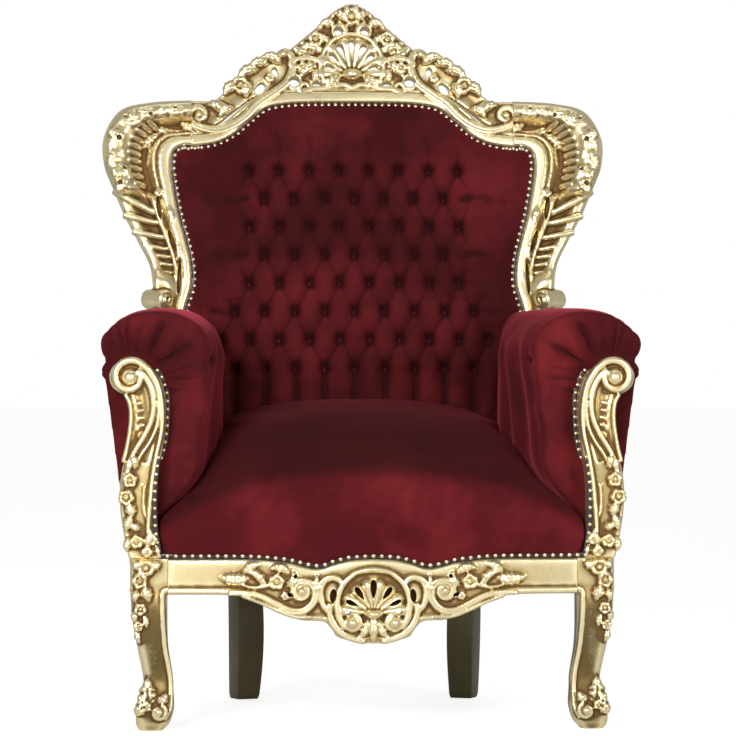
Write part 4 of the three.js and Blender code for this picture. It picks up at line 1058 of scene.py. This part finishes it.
# inner edge of a post at these heights, and the inner line of an arm from its foot to its lip
postUps = [railTop, 300, 330, 365, 400, 430, 455, 490, 528, 560, 580]
postInner = [345, 347, 351, 352, 351.5, 348.5, 344, 339, 337.5, 341, 350]
innerLine = [(0, 0), (0.17, 0.22), (0.56, 0.37), (0.82, 0.55), (0.9, 0.9)]


def pleat(t):
    # a rounded fold with a sharp crease on each side
    return 2 * np.abs(np.sin(t / 2)) ** 0.8 - 1.1


def sideX(y):
    return mixed(396.5, 247, (y - 64) / 481)


def rollAt(s):
    return mixed(arm["frontX"], arm["rearX"], s)


def rollHalf(s):
    return arm["wide"] * mixed(1, arm["narrow"], s)


def rollInside(s):
    # half width of the roll on its inner side, less towards the back
    return rollHalf(s) * (1 - arm["slim"] * smoothStep(s, 0.45, 1))


def armRing(s, drawn):
    y = mixed(arm["front"], arm["rear"], s)
    rollX = rollAt(s)
    half, tall = rollHalf(s) * drawn, arm["thick"] * drawn
    inside = rollInside(s) * drawn
    footX = sideX(y) - 3
    lip, foot = arm["lip"], arm["foot"]
    outer = rollX + 0.9 * rollHalf(s)
    innerFoot, innerRoll = footX - 38, rollX - inside
    points = [(mixed(innerFoot, innerRoll, lean), mixed(foot, lip, rise)) for lean, rise in innerLine]
    for turn in (180, 146, 112, 80, 48, 16, -18):
        lean = math.cos(math.radians(turn))
        wide = inside if turn > 90 else half
        points.append((rollX + wide * lean + arm["proud"] * max(lean, 0),
                       arm["rollUp"] + tall * math.sin(math.radians(turn))))
    points += [(outer + 8, lip + 6), (outer + 3, lip - 4),
               (mixed(footX, outer, 0.5) + 1, mixed(foot, lip, 0.5)), (footX, foot)]
    ring = curveThrough(points, 72)
    return np.stack([ring[:, 0], np.full(len(ring), y), ring[:, 1]], -1)


def buildArm():
    stations = [(0, 0.80), (0.004, 0.865), (0.012, 0.91), (0.026, 0.945), (0.045, 0.968), (0.07, 0.98)]
    stations += [(s, arm["start"]) for s in np.linspace(0.1, 1, 28)]
    piece = gathered("armRight", [loft([armRing(s, drawn) for s, drawn in stations], flatEnds=True)])
    # the rear end lies on the stile and on the back
    near, far, high = (backFace(np.array([x]), np.array([up]),
                                np.array([out - wingReach * (x / wingHalf) ** 2]))[0]
                       for x, up, out in ((188.5, 288.9, 37), (354.25, 288.9, 33), (188.5, 1080, 37)))
    normal = np.cross(far - near, high - near)
    normal /= np.linalg.norm(normal)
    if normal[1] > 0:
        normal = -normal
    near[1] += yShift
    mesh = piece.data
    co = verticesOf(mesh)
    depth = (co - near * mm) @ normal
    co -= np.minimum(depth - 0.5 * mm, 0)[:, None] * normal
    moveVertices(mesh, co)

    def held(points):
        y = points[:, 1] - yShift
        fromRear = ((points * mm - near * mm) @ normal) / mm
        return (smoothStep(y, arm["front"] + 1, arm["front"] + 22) * smoothStep(fromRear, 2, 40)
                * smoothStep(points[:, 2], 290, 380))

    plumped(piece, arm["voxel"], arm["pressure"], arm["cap"], held)
    co = verticesOf(piece.data) / mm
    x, y, z = co[:, 0], co[:, 1] - yShift, co[:, 2]
    rollX = rollAt((y - arm["front"]) / (arm["rear"] - arm["front"]))
    reach = np.hypot(x - rollX, z - arm["rollUp"]) + 1e-6
    # the velvet is gathered round the scroll: pleats fan out from it and run back over the roll
    fan = np.arctan2(z - gathers["up"], x - gathers["x"])
    fold = pleat(9.5 * fan + 0.9 * np.sin(2.3 * fan) + 0.4) + 0.45 * pleat(17 * fan + 1.1 + np.sin(4 * fan))
    fromScroll = np.hypot(x - gathers["x"], z - gathers["up"])
    onFront = smoothStep(60 - y, 0, 18)
    fanFade = (smoothStep(fromScroll, 20, 42) * smoothStep(gathers["reach"] - fromScroll, 0, 76)
               * smoothStep(z, 560, 592))
    back = np.exp(-np.maximum(y - arm["front"] - 10, 0) / 38)
    lift = gathers["lift"] * fold * back * fanFade
    # upright ridges along the inner side, where the stuffing is drawn down
    inside = smoothStep(-(x - rollX), 10, 60)
    ridge = (np.sin(0.045 * (y - 60) + 0.9 * np.sin(0.016 * z) + 0.5) * smoothStep(y, 60, 120)
             * smoothStep(440 - y, 0, 120))
    lift = lift + 6 * ridge * inside * smoothStep(z, 400, 500) * smoothStep(665 - z, 0, 60)
    # a button on the inner side, and the drag lines beside it
    along, above = y - armButton["y"], z - armButton["up"]
    low = (along / 11) ** 2 + (above / 10) ** 2
    drag = np.exp(-((above - 0.25 * along) / 7) ** 2) * np.exp(-(along / 40) ** 2)
    lift = lift - (7 * np.exp(-low) + 2.5 * drag) * smoothStep(-(x - rollX), 30, 70)
    slack = (np.sin(0.07 * z + 0.055 * x + 0.5 * np.sin(0.03 * y) + 0.8 * np.sin(0.021 * z))
             * smoothStep(580 - z, 0, 60))
    slack = slack * smoothStep(-(x - rollX), -20, 20)
    lift = lift + 3.2 * slack * smoothStep(120 - y, 0, 60) * smoothStep(z, 350, 400)
    outward = smoothStep(z, 540, 590)
    x = x + lift * ((x - rollX) / reach * outward - (1 - outward))
    z = z + (z - arm["rollUp"]) / reach * lift * outward
    # the front swells out round the post, but not where the post covers it
    postEdge = np.interp(z, postUps, postInner)
    clear = np.minimum(np.maximum(postEdge - x, np.where(z > 560, fromScroll - 40, -1e3)), 60)
    proud = smoothStep(clear, 2, 40) * onFront * smoothStep(z, 330, 420)
    y = y - proud * (10 + gathers["proud"] * fold * fanFade + 4 * slack * smoothStep(z, 350, 400))
    moveVertices(piece.data, np.stack([x, y + yShift, z], -1) * mm)
    return piece


# Seat
seat = {"crown": 522, "dome": 105, "bulge": 15, "voxel": 6.3, "pressure": 4, "cap": 12, "rear": 560,
        "half": 362, "footHalf": 334.6}


def buildSeat():
    top = curveThrough(apronTop, 60)
    line = np.vstack([top, (top[:-1] * [-1, 1])[::-1]])
    rings = []
    for x, up in line:
        across, edge = x / apronHalf, abs(x) / apronHalf
        front = -apronBow * (1 - (x / frontHalf) ** 2)
        foot = up + 0.5

        def crownAt(share):
            rise = mixed(0.62, 1, math.sin(math.pi / 2 * min(1, share * 1.9)))
            fall = seat["dome"] * edge**3 * (1 + 0.2 * share)
            return railTop + (seat["crown"] - railTop) * rise - fall - 4

        swell = seat["bulge"] * (1.05 - edge**4)
        section = [(31.5, foot), (front - 2.5, foot + 0.5),
                   (front - 3 - 0.7 * swell, mixed(foot, crownAt(0), 0.22)),
                   (front - 3 - swell, mixed(foot, crownAt(0), 0.5)),
                   (front - 0.5 * swell, mixed(foot, crownAt(0), 0.88))]
        section += [(mixed(front, seat["rear"], share), crownAt(share))
                    for share in (0.03, 0.12, 0.3, 0.55, 1)]
        section += [(seat["rear"], 284), (seat["rear"] / 2, 284)]
        ring = curveThrough(section, 90)
        half = np.where(ring[:, 1] > railTop + 6, seat["half"],
                        np.minimum(seat["footHalf"], sideX(ring[:, 0]) - 34))
        rings.append(np.stack([across * half, ring[:, 0], ring[:, 1]], -1))
    piece = gathered("seatCushion", [loft(rings)])
    co = verticesOf(piece.data) / mm
    y = co[:, 1] - yShift
    # clear of the back: the rear face leans with it
    limit = backPlaneY + (co[:, 2] / math.cos(rake)) * math.sin(rake) - 40
    co[:, 1] = np.minimum(y, limit) + yShift
    # clear of the arms: the inner line of each arm at this height
    s = (co[:, 1] - yShift - arm["front"]) / (arm["rear"] - arm["front"])
    footX = sideX(co[:, 1] - yShift) - 3
    rise = np.clip((co[:, 2] - arm["foot"]) / (arm["lip"] - arm["foot"]), 0, 1)
    lean = np.interp(rise, [rise for _, rise in innerLine] + [1], [lean for lean, _ in innerLine] + [1])
    room = mixed(footX - 38, rollAt(s) - rollInside(s), lean) - 3
    besidePost = np.interp(co[:, 2], postUps, postInner) - 1.5
    room = np.where(s < -0.012, np.minimum(besidePost, room + 200), room)
    room = np.where(co[:, 2] < railTop + 6, np.minimum(room, seat["footHalf"]), room)
    co[:, 0] = np.clip(co[:, 0], -room, room)
    moveVertices(piece.data, co * mm)

    def held(points):
        side, y, up = abs(points[:, 0]), points[:, 1] - yShift, points[:, 2]
        whole = smoothStep(up, 285, 330) * smoothStep(342 - side, 0, 50) * smoothStep(y, -30, 30)
        top = smoothStep(up, 300, 360) * smoothStep(340 - side, 0, 60)
        return (0.7 * whole + 0.3 * top) * smoothStep(490 - y, 0, 90)

    plumped(piece, seat["voxel"], seat["pressure"], seat["cap"], held, 4)
    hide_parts("seat_cushion")
    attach(piece, "root")
    return piece


legRight = buildBackLeg()
legLeft = mirrorCopy(legRight, "sabreLegLeft")
shadeSmooth(legLeft)
for piece, node in ((legRight, "back_leg_right"), (legLeft, "back_leg_left")):
    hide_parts(node)
    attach(piece, "root")

backCushion = buildBackCushion()
buttons = buildButtons()
outerBack = buildOuterBack()
armRight = buildArm()
armLeft = mirrorCopy(armRight, "armLeft")
shadeSmooth(armLeft)
for piece, node in ((armRight, "arm_pad_right"), (armLeft, "arm_pad_left")):
    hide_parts(node)
    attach(piece, "root")
seatCushion = buildSeat()
print("throne: upholstery done")


# Shader groups
def newGroup(name, inputs, outputs):
    tree = bpy.data.node_groups.new(name, "ShaderNodeTree")
    for label, value in inputs.items():
        kind = "NodeSocketColor" if isinstance(value, tuple) else "NodeSocketFloat"
        tree.interface.new_socket(label, in_out="INPUT", socket_type=kind).default_value = value
    for label in outputs:
        kind = "NodeSocketColor" if label == "Colour" else "NodeSocketFloat"
        tree.interface.new_socket(label, in_out="OUTPUT", socket_type=kind)
    return tree, tree.nodes.new("NodeGroupInput"), tree.nodes.new("NodeGroupOutput")


def mathNode(tree, operation, first, second=None, clamp=False):
    node = tree.nodes.new("ShaderNodeMath")
    node.operation = operation
    node.use_clamp = clamp
    for socket, value in zip(node.inputs, (first, second)):
        if value is None:
            continue
        if isinstance(value, (int, float)):
            socket.default_value = value
        else:
            tree.links.new(value, socket)
    return node.outputs[0]


def arithmetic(tree):
    def named(operation):
        return lambda first, second, clamp=False: mathNode(tree, operation, first, second, clamp)

    return named("MULTIPLY"), named("ADD"), named("SUBTRACT")


def noiseNode(tree, vector, scale, detail=3.0, roughness=0.55):
    node = tree.nodes.new("ShaderNodeTexNoise")
    node.inputs["Detail"].default_value = detail
    node.inputs["Roughness"].default_value = roughness
    tree.links.new(vector, node.inputs["Vector"])
    if isinstance(scale, (int, float)):
        node.inputs["Scale"].default_value = scale
    else:
        tree.links.new(scale, node.inputs["Scale"])
    return node.outputs["Fac"]


def mixColour(tree, factor, first, second):
    node = tree.nodes.new("ShaderNodeMix")
    node.data_type = "RGBA"
    for socket, value in ((node.inputs["Factor"], factor), (node.inputs[6], first),
                          (node.inputs[7], second)):
        if isinstance(value, (int, float)):
            socket.default_value = value
        elif isinstance(value, tuple):
            socket.default_value = (*value, 1)
        else:
            tree.links.new(value, socket)
    return node.outputs[2]


def attributeNode(tree, name):
    node = tree.nodes.new("ShaderNodeAttribute")
    node.attribute_name = name
    return node.outputs["Fac"]


# Antique gilding: toning settles in the hollows, the ridges are rubbed bright, and below a given height
# painted shade darkens the leaf
def gildingGroup():
    tree, inlet, outlet = newGroup("agedGilding", {
        "Bright": (0.92, 0.795, 0.48, 1), "Leaf": (0.56, 0.42, 0.18, 1), "Toning": (0.15, 0.075, 0.020, 1),
        "Hollow reach": 1.0, "Patch scale": 9.0, "Clean": 0.39, "Rubbing": 0.3,
        "Shaded": (0.185, 0.135, 0.048, 1), "Shaded below": -1.0},
        ["Colour", "Roughness", "Metal", "Height"])
    given, (times, plus, minus) = inlet.outputs, arithmetic(tree)
    where = tree.nodes.new("ShaderNodeTexCoord").outputs["Object"]
    fine, broad = attributeNode(tree, "hollowFine"), attributeNode(tree, "hollowBroad")
    patches = noiseNode(tree, where, given["Patch scale"], 4)
    speck = noiseNode(tree, where, 260, 3, 0.6)
    depth = times(plus(times(fine, 0.55), broad), given["Hollow reach"])
    wander = times(minus(patches, 0.5), 0.55)
    grit = times(minus(speck, 0.5), 0.35)
    level = plus(plus(depth, wander), grit)
    # Painted shade: below the given height the leaf turns to the darker shaded tone and tones more, for the
    # shade low on the legs
    split = tree.nodes.new("ShaderNodeSeparateXYZ")
    tree.links.new(where, split.inputs[0])
    shade = times(minus(given["Shaded below"], split.outputs["Z"]), 45.0, True)
    level = plus(level, times(shade, 0.24))
    leaf = mixColour(tree, shade, given["Leaf"], given["Shaded"])
    toned = times(minus(level, given["Clean"]), 1.7, True)
    rubbed = times(plus(times(level, -1.0), given["Rubbing"]), 1.8, True)
    colour = mixColour(tree, rubbed, leaf, given["Bright"])
    colour = mixColour(tree, toned, colour, given["Toning"])
    tree.links.new(colour, outlet.inputs["Colour"])
    rough = plus(times(toned, 0.28), plus(times(patches, 0.18), 0.22), True)
    tree.links.new(rough, outlet.inputs["Roughness"])
    metal = minus(0.85, times(toned, 0.35), True)
    tree.links.new(metal, outlet.inputs["Metal"])
    height = plus(times(speck, 0.35), noiseNode(tree, where, 75, 4, 0.6))
    tree.links.new(height, outlet.inputs["Height"])
    return tree


# Velvet: the pile lies in soft patches, lighter or darker, over a fine nap; painted shade darkens its
# hollows, and its up-facing parts where asked
def pileGroup():
    tree, inlet, outlet = newGroup("velvetPile", {
        "Pile": (0.054, 0.0062, 0.0076, 1), "Brushed": (0.138, 0.0122, 0.0152, 1),
        "Crushed and shaded": (0.024, 0.0048, 0.0054, 1), "Patch scale": 7.0, "Painted top shade": 0.0},
        ["Colour", "Roughness", "Height"])
    given, (times, plus, minus) = inlet.outputs, arithmetic(tree)
    where = tree.nodes.new("ShaderNodeTexCoord").outputs["Object"]
    broad = noiseNode(tree, where, given["Patch scale"], 3, 0.5)
    streaks = noiseNode(tree, where, 34, 3, 0.6)
    nap = noiseNode(tree, where, 900, 2, 0.7)
    level = plus(times(minus(broad, 0.40), 2.3), times(minus(streaks, 0.5), 0.8))
    level = plus(level, times(minus(nap, 0.5), 0.5), True)
    # Painted shade in the folds: the velvet darkens in its hollows, partly crushed pile and partly the shade
    # that falls there
    hollow = plus(times(attributeNode(tree, "hollowBroad"), 0.62),
                      times(attributeNode(tree, "hollowFine"), 0.2), True)
    hollow = mathNode(tree, "POWER", hollow, 1.7)
    level = minus(level, times(hollow, 0.6), True)
    # Painted shade on top: up-facing parts turn darker, as much as this input asks, for the shade where
    # little light falls on them
    split = tree.nodes.new("ShaderNodeSeparateXYZ")
    tree.links.new(tree.nodes.new("ShaderNodeTexCoord").outputs["Normal"], split.inputs[0])
    turned = times(times(split.outputs["Z"], split.outputs["Z"]), given["Painted top shade"])
    crushedAndShaded = plus(times(hollow, 0.8, True), turned, True)
    colour = mixColour(tree, level, given["Pile"], given["Brushed"])
    tree.links.new(mixColour(tree, crushedAndShaded, colour, given["Crushed and shaded"]), outlet.inputs["Colour"])
    tree.links.new(plus(times(level, -0.15), 0.92, True), outlet.inputs["Roughness"])
    tree.links.new(plus(nap, times(streaks, 0.6)), outlet.inputs["Height"])
    return tree


def newMaterial(name, group, values, links, bump, constants):
    material = bpy.data.materials.new(name)
    material.use_nodes = True
    tree = material.node_tree
    shader = tree.nodes["Principled BSDF"]
    node = tree.nodes.new("ShaderNodeGroup")
    node.node_tree = group
    for label, value in values.items():
        node.inputs[label].default_value = value
    for source, target in links.items():
        tree.links.new(node.outputs[source], shader.inputs[target])
    relief = tree.nodes.new("ShaderNodeBump")
    relief.inputs["Strength"].default_value, relief.inputs["Distance"].default_value = bump
    tree.links.new(node.outputs["Height"], relief.inputs["Height"])
    tree.links.new(relief.outputs["Normal"], shader.inputs["Normal"])
    for label, value in constants.items():
        shader.inputs[label].default_value = value
    return material


gilding = gildingGroup()
clothLinks = {"Colour": "Base Color", "Roughness": "Roughness"}
giltLinks = {**clothLinks, "Metal": "Metallic"}
gilt = newMaterial("agedGilt", gilding, {}, giltLinks, (0.35, 0.0006), {})
brass = newMaterial("brassHeads", gilding, {"Bright": (0.82, 0.75, 0.56, 1), "Leaf": (0.62, 0.52, 0.33, 1),
                                            "Toning": (0.2, 0.14, 0.07, 1)}, giltLinks, (0.1, 0.0003), {})
# the legs' gilding, with painted shade on their lower part
shadedGilt = newMaterial("agedGiltPaintedShadeLegs", gilding, {"Shaded below": 0.222}, giltLinks, (0.35, 0.0006), {})
# near-black braid finish, which also paints the shade along the tack lines
braidShadeFinish = newMaterial("darkBraidAndShade", gilding, {"Bright": (0.035, 0.014, 0.012, 1),
                                          "Leaf": (0.02, 0.008, 0.007, 1),
                                          "Toning": (0.012, 0.005, 0.004, 1)},
                   clothLinks, (0.3, 0.0004), {"Metallic": 0.0})
darkWood = newMaterial("darkBronzePaint", gilding, {"Bright": (0.145, 0.122, 0.052, 1),
                                                    "Leaf": (0.066, 0.054, 0.022, 1),
                                                    "Toning": (0.02, 0.016, 0.008, 1)},
                       clothLinks, (0.3, 0.0008), {"Metallic": 0.3})
pile = pileGroup()
velvet = newMaterial("burgundyVelvet", pile, {}, clothLinks, (0.35, 0.0005),
                     {"Sheen Weight": 0.5, "Sheen Roughness": 0.3, "Sheen Tint": (0.62, 0.085, 0.12, 1),
                      "Specular IOR Level": 0.08})
# The arms' velvet: a brighter copy of the velvet, painted light for the light that falls on the arm rolls
armVelvetPaintedLight = newMaterial("burgundyVelvetArmsPaintedLight", pile, {"Brushed": (0.175, 0.0145, 0.018, 1),
                                                     "Pile": (0.064, 0.0068, 0.0084, 1)},
                        clothLinks, (0.35, 0.0005), {"Sheen Weight": 0.6, "Sheen Roughness": 0.35,
                                                     "Sheen Tint": (0.65, 0.085, 0.12, 1),
                                                     "Specular IOR Level": 0.08})
# The seat's velvet: a brighter copy of the velvet, painted light for the light on the seat's front, with
# painted shade on its up-facing top
seatVelvetPaintedLight = newMaterial("burgundyVelvetSeatPaintedLightAndShade", pile, {"Brushed": (0.175, 0.014, 0.018, 1),
                                                      "Pile": (0.075, 0.0064, 0.0085, 1),
                                                      "Painted top shade": 0.9}, clothLinks, (0.35, 0.0005),
                         {"Sheen Weight": 0.15, "Sheen Roughness": 0.4, "Sheen Tint": (0.6, 0.08, 0.11, 1),
                          "Specular IOR Level": 0.08})


def dress(piece, material):
    piece.data.materials.clear()
    piece.data.materials.append(material)


def nodeObject(name):
    return bpy.data.objects[name]


for piece in carved:
    dress(piece, shadedGilt if "Leg" in piece.name else gilt)
# hollow measures on the velvet pieces, for the painted shade in their folds
for piece in (backCushion, outerBack, armRight, armLeft, seatCushion):
    markHollows(piece)
for piece in (backCushion, buttons, outerBack):
    dress(piece, velvet)
for piece in (armRight, armLeft):
    dress(piece, armVelvetPaintedLight)
dress(seatCushion, seatVelvetPaintedLight)
for piece in (legRight, legLeft):
    dress(piece, darkWood)
for name in ("side_rail_right", "side_rail_left", "back_rail"):
    dress(nodeObject(name), gilt)


# Brass tacks: one domed head at each point, turned to face out
tacks = {"radius": 3.5, "outside": 3.8, "seat": 3.75, "high": 2.4, "pitch": 12.0, "outsidePitch": 20,
         "seatPitch": 13.5, "postPitch": 14, "inset": 4.4, "above": 560, "outsideAbove": 300,
         "variation": 0.08}


def tackTree():
    tree = bpy.data.node_groups.new("tackRow", "GeometryNodeTree")
    tree.interface.new_socket("Geometry", in_out="INPUT", socket_type="NodeSocketGeometry")
    sockets = {}
    for label, kind in (("Head radius", "NodeSocketFloat"), ("Head height", "NodeSocketFloat"),
                        ("Variation", "NodeSocketFloat"), ("Seed", "NodeSocketInt"),
                        ("Finish", "NodeSocketMaterial")):
        sockets[label] = tree.interface.new_socket(label, in_out="INPUT", socket_type=kind).identifier
    tree.interface.new_socket("Geometry", in_out="OUTPUT", socket_type="NodeSocketGeometry")
    nodes, link = tree.nodes, tree.links.new
    inlet, outlet = nodes.new("NodeGroupInput"), nodes.new("NodeGroupOutput")
    head = nodes.new("GeometryNodeMeshUVSphere")
    head.inputs["Segments"].default_value, head.inputs["Rings"].default_value = 10, 6
    head.inputs["Radius"].default_value = 1
    size = nodes.new("ShaderNodeCombineXYZ")
    link(inlet.outputs["Head radius"], size.inputs["X"])
    link(inlet.outputs["Head radius"], size.inputs["Y"])
    link(inlet.outputs["Head height"], size.inputs["Z"])
    squash = nodes.new("GeometryNodeTransform")
    link(head.outputs["Mesh"], squash.inputs["Geometry"])
    link(size.outputs[0], squash.inputs["Scale"])
    facing = nodes.new("GeometryNodeInputNamedAttribute")
    facing.data_type = "FLOAT_VECTOR"
    facing.inputs["Name"].default_value = "facing"
    turn = nodes.new("FunctionNodeAlignRotationToVector")
    turn.axis = "Z"
    link(facing.outputs["Attribute"], turn.inputs["Vector"])
    low = nodes.new("ShaderNodeMath")
    low.operation = "SUBTRACT"
    low.inputs[0].default_value = 1
    link(inlet.outputs["Variation"], low.inputs[1])
    random = nodes.new("FunctionNodeRandomValue")
    random.data_type = "FLOAT"
    random.inputs[3].default_value = 1.0
    link(low.outputs[0], random.inputs[2])
    link(inlet.outputs["Seed"], random.inputs["Seed"])
    points = nodes.new("GeometryNodeInstanceOnPoints")
    link(inlet.outputs["Geometry"], points.inputs["Points"])
    link(squash.outputs["Geometry"], points.inputs["Instance"])
    link(turn.outputs["Rotation"], points.inputs["Rotation"])
    link(random.outputs[1], points.inputs["Scale"])
    real = nodes.new("GeometryNodeRealizeInstances")
    link(points.outputs["Instances"], real.inputs["Geometry"])
    smooth = nodes.new("GeometryNodeSetShadeSmooth")
    link(real.outputs["Geometry"], smooth.inputs["Geometry"])
    finish = nodes.new("GeometryNodeSetMaterial")
    link(smooth.outputs["Geometry"], finish.inputs["Geometry"])
    link(inlet.outputs["Finish"], finish.inputs["Material"])
    link(finish.outputs["Geometry"], outlet.inputs["Geometry"])
    return tree, sockets


def evenly(path, pitch):
    path = np.asarray(path, float)
    length = np.append(0, np.cumsum(np.linalg.norm(np.diff(path, axis=0), axis=1)))
    count = max(2, int(round(length[-1] / pitch)) + 1)
    at = np.linspace(0, length[-1], count)
    return np.stack([np.interp(at, length, path[:, k]) for k in range(path.shape[1])], -1)


tackNodes, tackSockets = tackTree()


def tackRow(name, points, facing, radius, seed):
    points = np.array(points, float)
    points[:, 1] += yShift
    piece = objectFrom(name, points * mm, [])
    layer = piece.data.attributes.new("facing", "FLOAT_VECTOR", "POINT")
    layer.data.foreach_set("vector", np.asarray(facing, np.float32).ravel())
    row = piece.modifiers.new("tacks", "NODES")
    row.node_group = tackNodes
    for label, value in (("Head radius", radius * mm), ("Head height", tacks["high"] * mm),
                         ("Variation", tacks["variation"]), ("Seed", seed), ("Finish", brass)):
        row[tackSockets[label]] = value
    applyModifiers(piece)
    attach(piece, "root")
    return piece


# Dark braid under the tacks; the dark strip also paints the shade along the tack lines
braid = {"half": 4.2, "high": 1.4}


def braidAndShadeStrip(name, face, path, out):
    piece = gathered(name, [scroll(face, path, braid["half"], braid["high"], out, across=9)])
    shadeSmooth(piece)
    dress(piece, braidShadeFinish)
    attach(piece, "root")


outline = panelOutline()
visible = outline[outline[:, 1] > tacks["above"]]
start = np.argmax(np.linalg.norm(np.diff(visible, axis=0), axis=1) > 60)
ordered = visible if start == 0 else np.vstack([visible[start + 1:], visible[:start + 1]])
inward = np.gradient(ordered, axis=0)
inward = np.stack([-inward[:, 1], inward[:, 0]], -1) / np.linalg.norm(inward, axis=1)[:, None]
line = ordered + tacks["inset"] * inward  # the middle of the braid, just inside the frame
row = evenly(line, tacks["pitch"])
braidAndShadeStrip("backBraidAndShade", backFace, evenly(line, 4), 3.2)
backNormal = np.array([0, -math.cos(rake), math.sin(rake)])
tackRow("backTacks", backFace(row[:, 0], row[:, 1], np.full(len(row), 4.6)),
        np.tile(backNormal, (len(row), 1)), tacks["radius"], 1)
rear = evenly(np.vstack([outline, outline[:1]]), tacks["outsidePitch"])
rear = rear[rear[:, 1] > tacks["outsideAbove"]]
shrink = rear * [0.975, 1]
tackRow("outsideTacks", backFace(shrink[:, 0], shrink[:, 1] - 7 * smoothStep(shrink[:, 1], 950, 1000),
                                 np.full(len(rear), -outsideBack["rear"] - 0.5)),
        np.tile(-backNormal, (len(rear), 1)), tacks["outside"], 2)
railLine = bothSides(curveThrough([(349, 283)] + apronTop, 120)) + [0, 4.6]
top = evenly(railLine, tacks["seatPitch"])
braidAndShadeStrip("seatBraidAndShade", frontFace, evenly(railLine, 5), 4.6)
tackRow("seatTacks", frontFace(top[:, 0], top[:, 1], np.full(len(top), 6.0)),
        np.tile([0, -1.0, 0], (len(top), 1)), tacks["seat"], 3)
# up the posts: first on the wood, then on the velvet beside the scroll
postLines = {"Low": {"path": [(349.5, 296), (355, 330), (356.2, 365), (355.5, 400), (352.8, 430),
                              (350, 448)], "out": 0.8},
             "High": {"path": [(345.5, 446), (341, 462), (336.8, 490), (335.2, 528), (336.5, 552),
                               (343, 575), (352, 590)],
                      "out": -40.5}}
for side, name in ((1, "Right"), (-1, "Left")):
    for part, settings in postLines.items():
        edge = evenly(curveThrough(settings["path"], 60), tacks["postPitch"])
        strip = evenly(curveThrough(settings["path"], 80), 5) * [side, 1]
        braidAndShadeStrip("postBraidAndShade" + part + name, postFace, strip, settings["out"] - 1.4)
        tackRow("postTacks" + part + name,
                postFace(side * edge[:, 0], edge[:, 1], np.full(len(edge), settings["out"])),
                np.tile([0, -1.0, 0], (len(edge), 1)), tacks["radius"], 4)
print("throne: tacks done")

# Floor, light and camera
floorMesh = bpy.data.meshes.new("floor")
floorMesh.from_pydata([(-30, -30, 0), (30, -30, 0), (30, 30, 0), (-30, 30, 0)], [], [[0, 1, 2, 3]])
floor = inScene("floor", floorMesh)
floorMaterial = bpy.data.materials.new("paleFloor")
floorMaterial.use_nodes = True
dress(floor, floorMaterial)

studio = {"ahead": 0.30, "behind": 0.78, "below": 1.1, "above": 0.42, "key": 100, "fill": 46, "top": 6,
          "floor": 0.72}
world = bpy.data.worlds.new("studio")
world.use_nodes = True
sky = world.node_tree
direction = sky.nodes.new("ShaderNodeTexCoord").outputs["Generated"]
split = sky.nodes.new("ShaderNodeSeparateXYZ")
sky.links.new(direction, split.inputs[0])


def graded(axis, low, high):
    node = sky.nodes.new("ShaderNodeMapRange")
    node.inputs["From Min"].default_value, node.inputs["From Max"].default_value = -1, 1
    node.inputs["To Min"].default_value, node.inputs["To Max"].default_value = low, high
    sky.links.new(split.outputs[axis], node.inputs["Value"])
    return node.outputs[0]


fall = mathNode(sky, "MULTIPLY", graded("Y", studio["ahead"], studio["behind"]),
                graded("Z", studio["below"], studio["above"]))
floorTree = floorMaterial.node_tree
coat = floorTree.nodes["Principled BSDF"]
coat.inputs["Base Color"].default_value = (0.8, 0.8, 0.79, 1)
coat.inputs["Roughness"].default_value = 0.8
coat.inputs["Emission Color"].default_value = (1, 1, 1, 1)
cameraRay = floorTree.nodes.new("ShaderNodeLightPath").outputs["Is Camera Ray"]
floorTree.links.new(mathNode(floorTree, "MULTIPLY", cameraRay, studio["floor"]),
                    coat.inputs["Emission Strength"])
seen = sky.nodes.new("ShaderNodeLightPath").outputs["Is Camera Ray"]
plain = sky.nodes.new("ShaderNodeMix")
sky.links.new(seen, plain.inputs[0])
sky.links.new(fall, plain.inputs[2])
plain.inputs[3].default_value = 1.0
sky.links.new(plain.outputs[0], sky.nodes["Background"].inputs["Strength"])
sky.nodes["Background"].inputs["Color"].default_value = (1, 1, 1, 1)
bpy.context.scene.world = world
bpy.context.scene.view_settings.view_transform = "Standard"


def softBox(name, place, target, size, power):
    light = bpy.data.lights.new(name, "AREA")
    light.shape = "RECTANGLE"
    light.size, light.size_y = size
    light.energy = power
    lamp = inScene(name, light)
    lamp.location = place
    lamp.rotation_euler = (Vector(target) - Vector(place)).to_track_quat("-Z", "Y").to_euler()


softBox("keyBox", (-1.3, -3.6, 1.45), (0, 0, 0.8), (1.1, 1.1), studio["key"])
softBox("fillBox", (2.0, -3.3, 1.25), (0, 0, 0.8), (1.2, 1.2), studio["fill"])
softBox("topBox", (0.2, -0.4, 3.2), (0, 0, 0.8), (1.6, 1.2), studio["top"])

view = {"distance": 6.5, "eye": 0.639, "lens": 194.4, "pitch": 0.40, "yaw": -0.07, "turn": 3.2}
turn = math.radians(view["turn"])
camera = inScene("camera", bpy.data.cameras.new("camera"))
camera.data.lens = view["lens"]
camera.data.sensor_width = 36
camera.data.clip_end = 100
camera.location = (-view["distance"] * math.sin(turn), -view["distance"] * math.cos(turn) + yShift * mm,
                   view["eye"])
heading = turn + math.radians(view["yaw"])
down = math.radians(view["pitch"])
aim = Vector((math.sin(heading) * math.cos(down), math.cos(heading) * math.cos(down), -math.sin(down)))
camera.rotation_euler = aim.to_track_quat("-Z", "Y").to_euler()
bpy.context.scene.camera = camera
